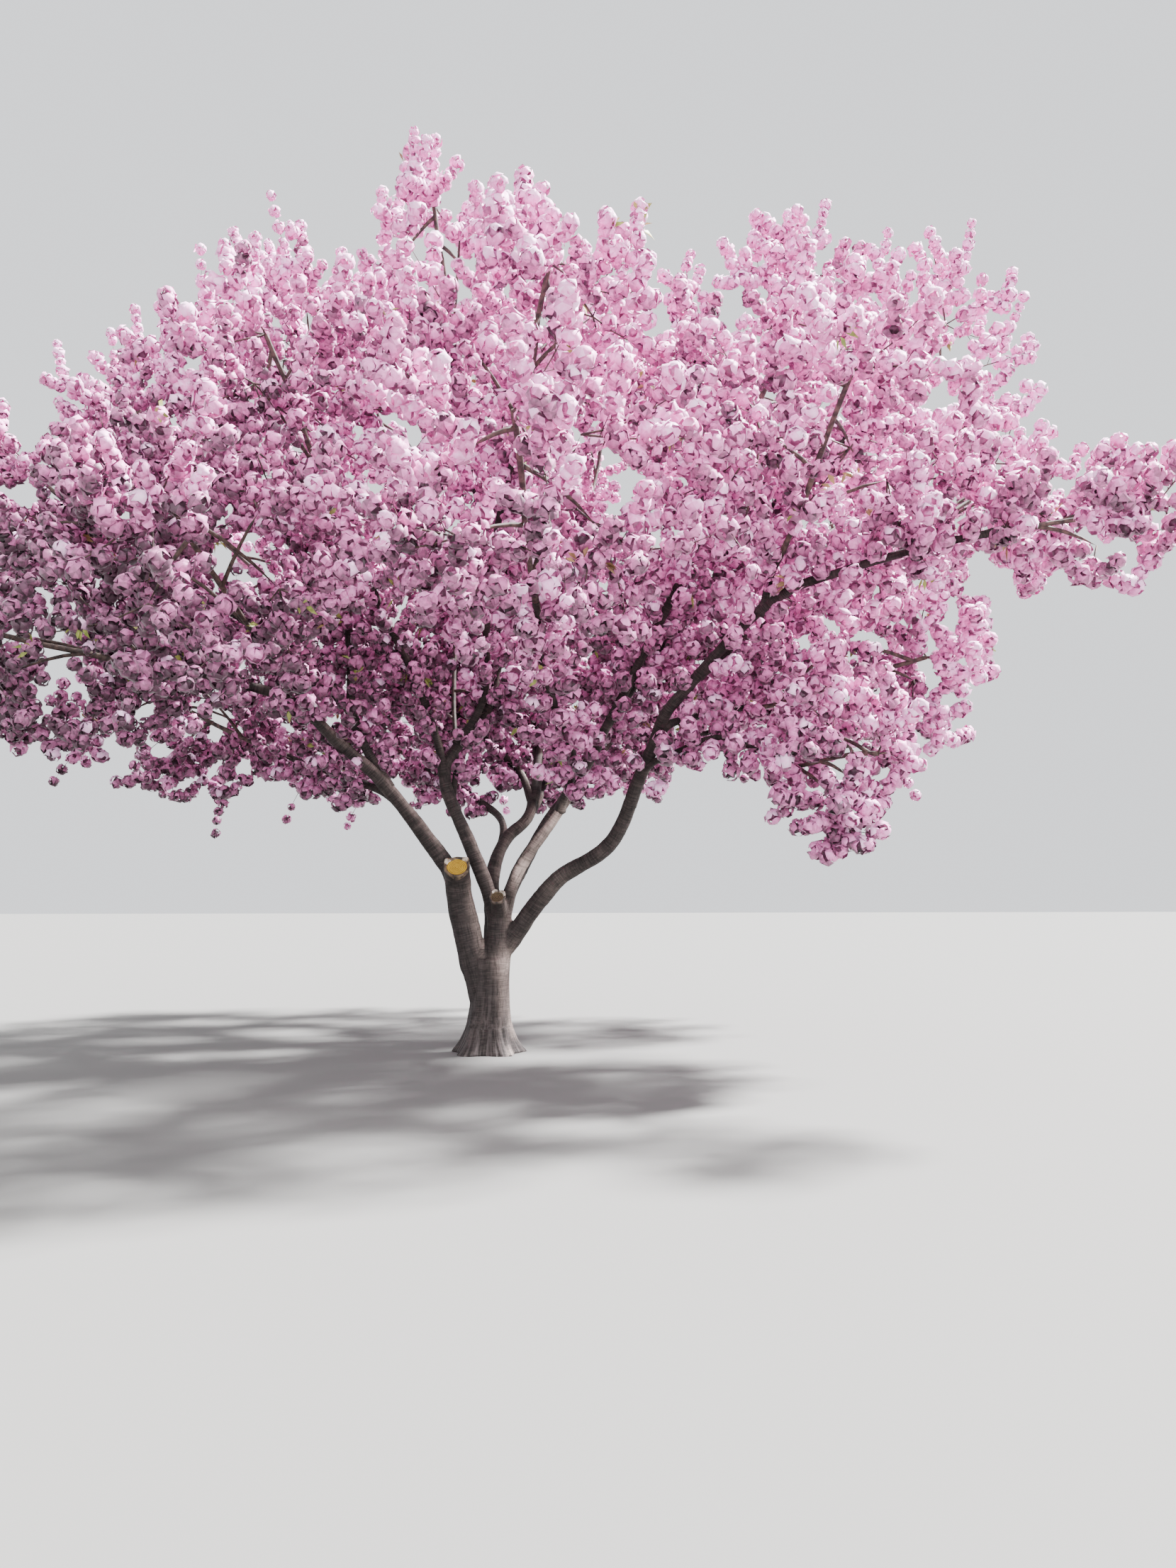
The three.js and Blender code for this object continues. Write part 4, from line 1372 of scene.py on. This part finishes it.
# The points of one cluster, and their normals, which lead away from a point a little way out to each
# flower. The flowers stand about the middle at even heights, each turned on by the golden angle.
def clusterPoints():
    step = np.arange(clusterForm["flowers"]) + 0.5
    z = 1 - 2 * step / clusterForm["flowers"]
    directions = unit(sphereWay(z, golden * step + dice.uniform(*firstTurn)))
    around = 2 * clusterForm["petals"]
    isTip = np.arange(around) % 2 == 0
    lift = np.where(isTip, clusterForm["tipUp"], clusterForm["notchUp"])[:, None]
    out = np.where(isTip, clusterForm["tipOut"], clusterForm["notchOut"])[:, None]
    points = []
    normals = []
    for way, first, second in zip(directions, *acrossPair(directions)):
        angle = math.pi * np.arange(around) / clusterForm["petals"] + dice.uniform(*firstTurn)
        ring = lift * way + out * roundCourse(first, second, angle)
        ring = ring + dice.normal(0, clusterForm["ruffle"], ring.shape)
        points.append(np.vstack([clusterForm["crown"] * way, ring]))
        normals.append(unit(points[-1] - clusterForm["domeFrom"] * way))
    return np.vstack([*points, clusterForm["heart"] * heartCorners]), np.vstack([*normals, heartCorners])


# The faces of one cluster: a fan from each flower's crown round its ring, and a closed heart.
def clusterFaces():
    around = 2 * clusterForm["petals"]
    here = np.arange(around)
    dome = np.stack([np.zeros(around, int), 1 + here, 1 + (here + 1) % around], -1)
    step = (np.arange(clusterForm["flowers"]) * (1 + around))[:, None, None]
    return (dome + step).reshape(-1, 3), heartFaces + clusterForm["flowers"] * (1 + around)


# Random turns as matrices, from even random quaternions.
def randomTurns(count):
    w, x, y, z = unit(dice.normal(size=(count, 4))).T
    return np.stack([
        1 - 2 * (y * y + z * z), 2 * (x * y - z * w), 2 * (x * z + y * w),
        2 * (x * y + z * w), 1 - 2 * (x * x + z * z), 2 * (y * z - x * w),
        2 * (x * z - y * w), 2 * (y * z + x * w), 1 - 2 * (x * x + y * y),
    ], -1).reshape(count, 3, 3)


# Tints are dealt out by spray, and most of their range is painted light and shade. The paler ones go to the
# sprays that lie high, towards the sun and at the open edge of the crown, and the deeper ones, as painted
# shade, to those low, away from the sun and crowded deep in the crown, with some chance, in five equal
# groups. Painted pools of light and shade, each with its middle, its reach and its strength, make the sprays
# and petals in them paler or deeper. Within a cluster a petal is paler the more its flower faces the sun, as
# a painted highlight, and whole clusters and single petals are deeper or paler by chance. A few clusters in
# each piece are dappled with painted sunlight: their flowers that face the sun have the palest tint.
blossomLook = {
    "tints": ["#FFD4F6", "#FFBFEE", "#FAA6DD", "#EF91CD", "#DC7EB8", "#BA6C9A", "#975A7D", "#734861",
              "#503544"],
    "pieces": 5,
    "crownMiddle": (0.2, 0.2, 4.9),
    "crownHalves": (5.5, 5.2, 3.2),
    "sunward": (0.2, -0.15, 0.9),
    "chance": 0.48,
    "crowded": 0.9,
    "crowdCell": 0.3,
    "crowdSpreads": 3,
    "pools": (((-3.5, -2.1, 3.2), 2.0, -1.2), ((3.1, -2.0, 3.0), 1.8, 0.8), ((-2.2, 0.5, 7.0), 1.6, 0.2)),
    "shade": 1.5,
    "facing": 2.1,
    "clusterChance": 0.45,
    "petalChance": 0.55,
    "dappled": 0.07,
}


# How crowded each cluster is, from 0 at the open edge of the crown to 1 in its depth: clusters are counted
# in the cells of a lattice, each count is spread to the cells about it a few times over, and the clusters
# are ranked by the counts where they are. Empty cells round the lattice leave the counts room to spread.
def crowding():
    room = blossomLook["crowdSpreads"] + 1
    at = np.floor((centres - centres.min(axis=0)) / blossomLook["crowdCell"]).astype(int) + room
    counts = np.zeros(at.max(axis=0) + room + 1)
    np.add.at(counts, tuple(at.T), 1)
    for axis in (0, 1, 2) * blossomLook["crowdSpreads"]:
        counts = (np.roll(counts, 1, axis) + counts + np.roll(counts, -1, axis)) / 3
    return counts[tuple(at.T)].argsort().argsort() / len(centres)


# The piece that each cluster goes to, which are equal groups from the deepest tints to the palest.
def blossomGroups(sunward):
    pieces = blossomLook["pieces"]
    # Painted light and shade: sprays high and towards the sun score paler, and the painted pools add to it.
    away = (sprayPlaces - blossomLook["crownMiddle"]) / blossomLook["crownHalves"]
    scores = away @ sunward + dice.normal(0, blossomLook["chance"], len(sprayPlaces))
    scores = scores + pooled(sprayPlaces, blossomLook["pools"])
    # Painted shade: clusters crowded deep in the crown rank deeper.
    ranks = (scores[sprays] - blossomLook["crowded"] * crowding()).argsort().argsort()
    return pieces - 1 - ranks * pieces // len(ranks)


# The tint of each dome face: which of its piece's tints it has, and one more at the end, the palest, where
# a flower is dappled with painted sunlight. Flowers that face the sun, and clusters in painted pools of
# light, get paler tints: painted light and shade.
def petalSlots(facing, light, steps):
    shade = blossomLook["shade"] - blossomLook["facing"] * facing - light[:, None]
    shade = shade + dice.normal(0, blossomLook["clusterChance"], (len(facing), 1))
    lit = (facing > 0) & (dice.uniform(size=(len(facing), 1)) < blossomLook["dappled"])
    shade, lit = (np.repeat(values, 2 * clusterForm["petals"], axis=1) for values in (shade, lit))
    shade = shade + dice.normal(0, blossomLook["petalChance"], shade.shape)
    return np.where(lit, steps, np.round(shade).clip(0, steps - 1).astype(int)).ravel()


# Each cluster is one of a few forms, turned at random, scaled and moved to its place.
def makeBlossom():
    tints = blossomLook["tints"]
    pieces = blossomLook["pieces"]
    steps = len(tints) - pieces + 1
    # The petal materials are copies of one in tints from pale to deep: the deeper ones stand for painted
    # shade and the palest for painted sunlight.
    petals = [cherryPetal(f"cherryPetal{k}", tint, shade)
              for k, (tint, shade) in enumerate(zip(tints, tints[1:] + tints[-1:]))]
    sunward = unit(blossomLook["sunward"])
    groups = blossomGroups(sunward)
    light = pooled(centres, blossomLook["pools"])
    forms = np.array([clusterPoints() for _ in range(clusterForm["forms"])])
    dome, heart = clusterFaces()
    radii = dice.uniform(*clusterPlaces["radius"], len(centres)) * sizes
    for group in range(pieces):
        mine = np.flatnonzero(groups == group)
        form = forms[dice.integers(0, len(forms), len(mine))]
        points, normals = np.einsum("nij,ntkj->tnki", randomTurns(len(mine)), form)
        flowers = points[:, :-len(heartCorners)].reshape(len(mine), clusterForm["flowers"], -1, 3)
        slots = petalSlots(unit(flowers.mean(axis=2)) @ sunward, light[mine], steps)
        points = points * radii[mine, None, None] + centres[mine, None]
        step = (np.arange(len(mine)) * points.shape[1])[:, None, None]
        # The hearts take the piece's deepest tint: painted shade between the flowers.
        faceSets = [((dome + step).reshape(-1, 3), slots), ((heart + step).reshape(-1, 3), steps - 1)]
        piece = makeMesh(f"blossom{group}", points.reshape(-1, 3), faceSets,
                         petals[group:group + steps] + petals[:1])
        piece.data.normals_split_custom_set_from_vertices(normals.reshape(-1, 3))
        place(piece, ["blossom_" + name for name in masses])


makeBlossom()

# Young leaves in tufts beside some of the clusters: each leaf is a blade of four triangles, folded along
# its midrib and drooping at its tip. Tufts are drawn more often low in the crown, where leaves show first:
# their weight is lowWeight at the ground and falls by one in each weightFall metres, to leastWeight.
leafForm = {
    "tufts": 230,
    "leaves": 4,
    "lowWeight": 1.4,
    "weightFall": 6,
    "leastWeight": 0.25,
    "rise": 0.4,
    "spread": 0.45,
    "away": 0.055,
    "length": 0.1,
    "lengthChance": (0.75, 1.2),
    "width": 0.04,
    "fold": 0.25,
    "droop": 0.2,
    "bronzeShare": 0.4,
    "green": ("#A3A857", "#76833A"),
    "bronze": ("#A08457", "#7C5F3F"),
}
leafFaces = np.array([[0, 1, 4], [1, 2, 4], [2, 3, 4], [3, 0, 4]])


def makeLeaves():
    leaves = leafForm["leaves"]
    weight = leafForm["lowWeight"] - centres[:, 2] / leafForm["weightFall"]
    weight = np.clip(weight, leafForm["leastWeight"], 1)
    chosen = dice.choice(len(centres), leafForm["tufts"], replace=False, p=weight / weight.sum())
    tuft = np.repeat(centres[chosen], leaves, axis=0)
    lean = unit(dice.normal(size=(len(chosen), 3)) + leafForm["rise"] * up)
    ways = unit(np.repeat(lean, leaves, axis=0) + dice.normal(0, leafForm["spread"], tuft.shape))
    across = roundCourse(*acrossPair(ways), dice.uniform(0, 2 * math.pi, len(ways)))
    above = np.cross(ways, across)
    length = leafForm["length"] * dice.uniform(*leafForm["lengthChance"], (len(ways), 1))
    width = leafForm["width"] * length / leafForm["length"]
    fold = above * leafForm["fold"] * width
    base = tuft + ways * leafForm["away"]
    middle = base + ways * length * 0.5 - fold
    tip = base + ways * length - up * leafForm["droop"] * length
    side = across * width / 2
    points = np.stack([base, middle + side + fold, tip, middle - side + fold, middle], axis=1)
    faces = leafFaces + points.shape[1] * np.arange(len(ways))[:, None, None]
    bronze = dice.uniform(size=len(chosen)) < leafForm["bronzeShare"]
    slots = np.repeat(bronze.astype(int), leaves * len(leafFaces))
    materials = [youngLeaf("youngLeafGreen", *leafForm["green"]),
                 youngLeaf("youngLeafBronze", *leafForm["bronze"])]
    piece = makeMesh("youngLeaves", points.reshape(-1, 3), [(faces.reshape(-1, 3), slots)], materials)
    place(piece, [])


makeLeaves()

# The stage: a pale floor, an even pale sky, a high sun from the right with soft edges, and soft fill from
# the viewer's side. The floor lies a little under the ground. Each lamp has its strength, the angle across
# it in radians and the way its light goes.
stageLook = {
    "floor": "#6E6D6B",
    "floorHalf": 60,
    "floorUnder": 0.001,
    "sky": "#F2F4F8",
    "skyStrength": 1.5,
    "lamps": {
        "sun": (38.0, 0.12, (-0.58, -0.2, -0.8)),
        "fill": (2.5, 1.2, (-0.25, 0.9, -0.4)),
    },
}


def makeStage():
    corners = np.array([[-1, -1, 0], [1, -1, 0], [1, 1, 0], [-1, 1, 0]]) * stageLook["floorHalf"]
    # Matt painted board, which the eye sees as an even ground that only shade marks.
    paint, surface = newMaterial("paleFloor")
    feed(surface, {"Base Color": hexColour(stageLook["floor"]), "Roughness": 0.9})
    corners = corners - stageLook["floorUnder"] * up
    floor = makeMesh("floor", corners, [(np.array([[0, 1, 2, 3]]), 0)], [paint], smooth=False)
    world = bpy.data.worlds.new("paleSky")
    world.use_nodes = True
    feed(world.node_tree.nodes["Background"],
         {"Color": hexColour(stageLook["sky"]), "Strength": stageLook["skyStrength"]})
    bpy.context.scene.world = world
    for name, (strength, angle, way) in stageLook["lamps"].items():
        light = bpy.data.lights.new(name, "SUN")
        light.energy = strength
        light.angle = angle
        linked(name, light).rotation_euler = Vector(way).to_track_quat("-Z", "Y").to_euler()


makeStage()

# The camera stands where the photo was taken: at eye height on the path, turned a little to the right
# and up in degrees, with the lens that gives the photo's angle of view on the long side.
camera = {"eye": (0.0, -12.0, 1.6), "turn": 4.6, "tilt": 4.75, "lens": 28.07, "sensor": 36, "sight": 300}


def makeCamera():
    turn = math.radians(camera["turn"])
    tilt = math.radians(camera["tilt"])
    forward = Vector((math.sin(turn) * math.cos(tilt), math.cos(turn) * math.cos(tilt), math.sin(tilt)))
    optics = bpy.data.cameras.new("photoCamera")
    optics.lens = camera["lens"]
    optics.sensor_width = camera["sensor"]
    optics.clip_end = camera["sight"]
    eye = linked("photoCamera", optics)
    eye.location = camera["eye"]
    eye.rotation_euler = forward.to_track_quat("-Z", "Y").to_euler()
    bpy.context.scene.camera = eye


makeCamera()

print("stage and camera set")
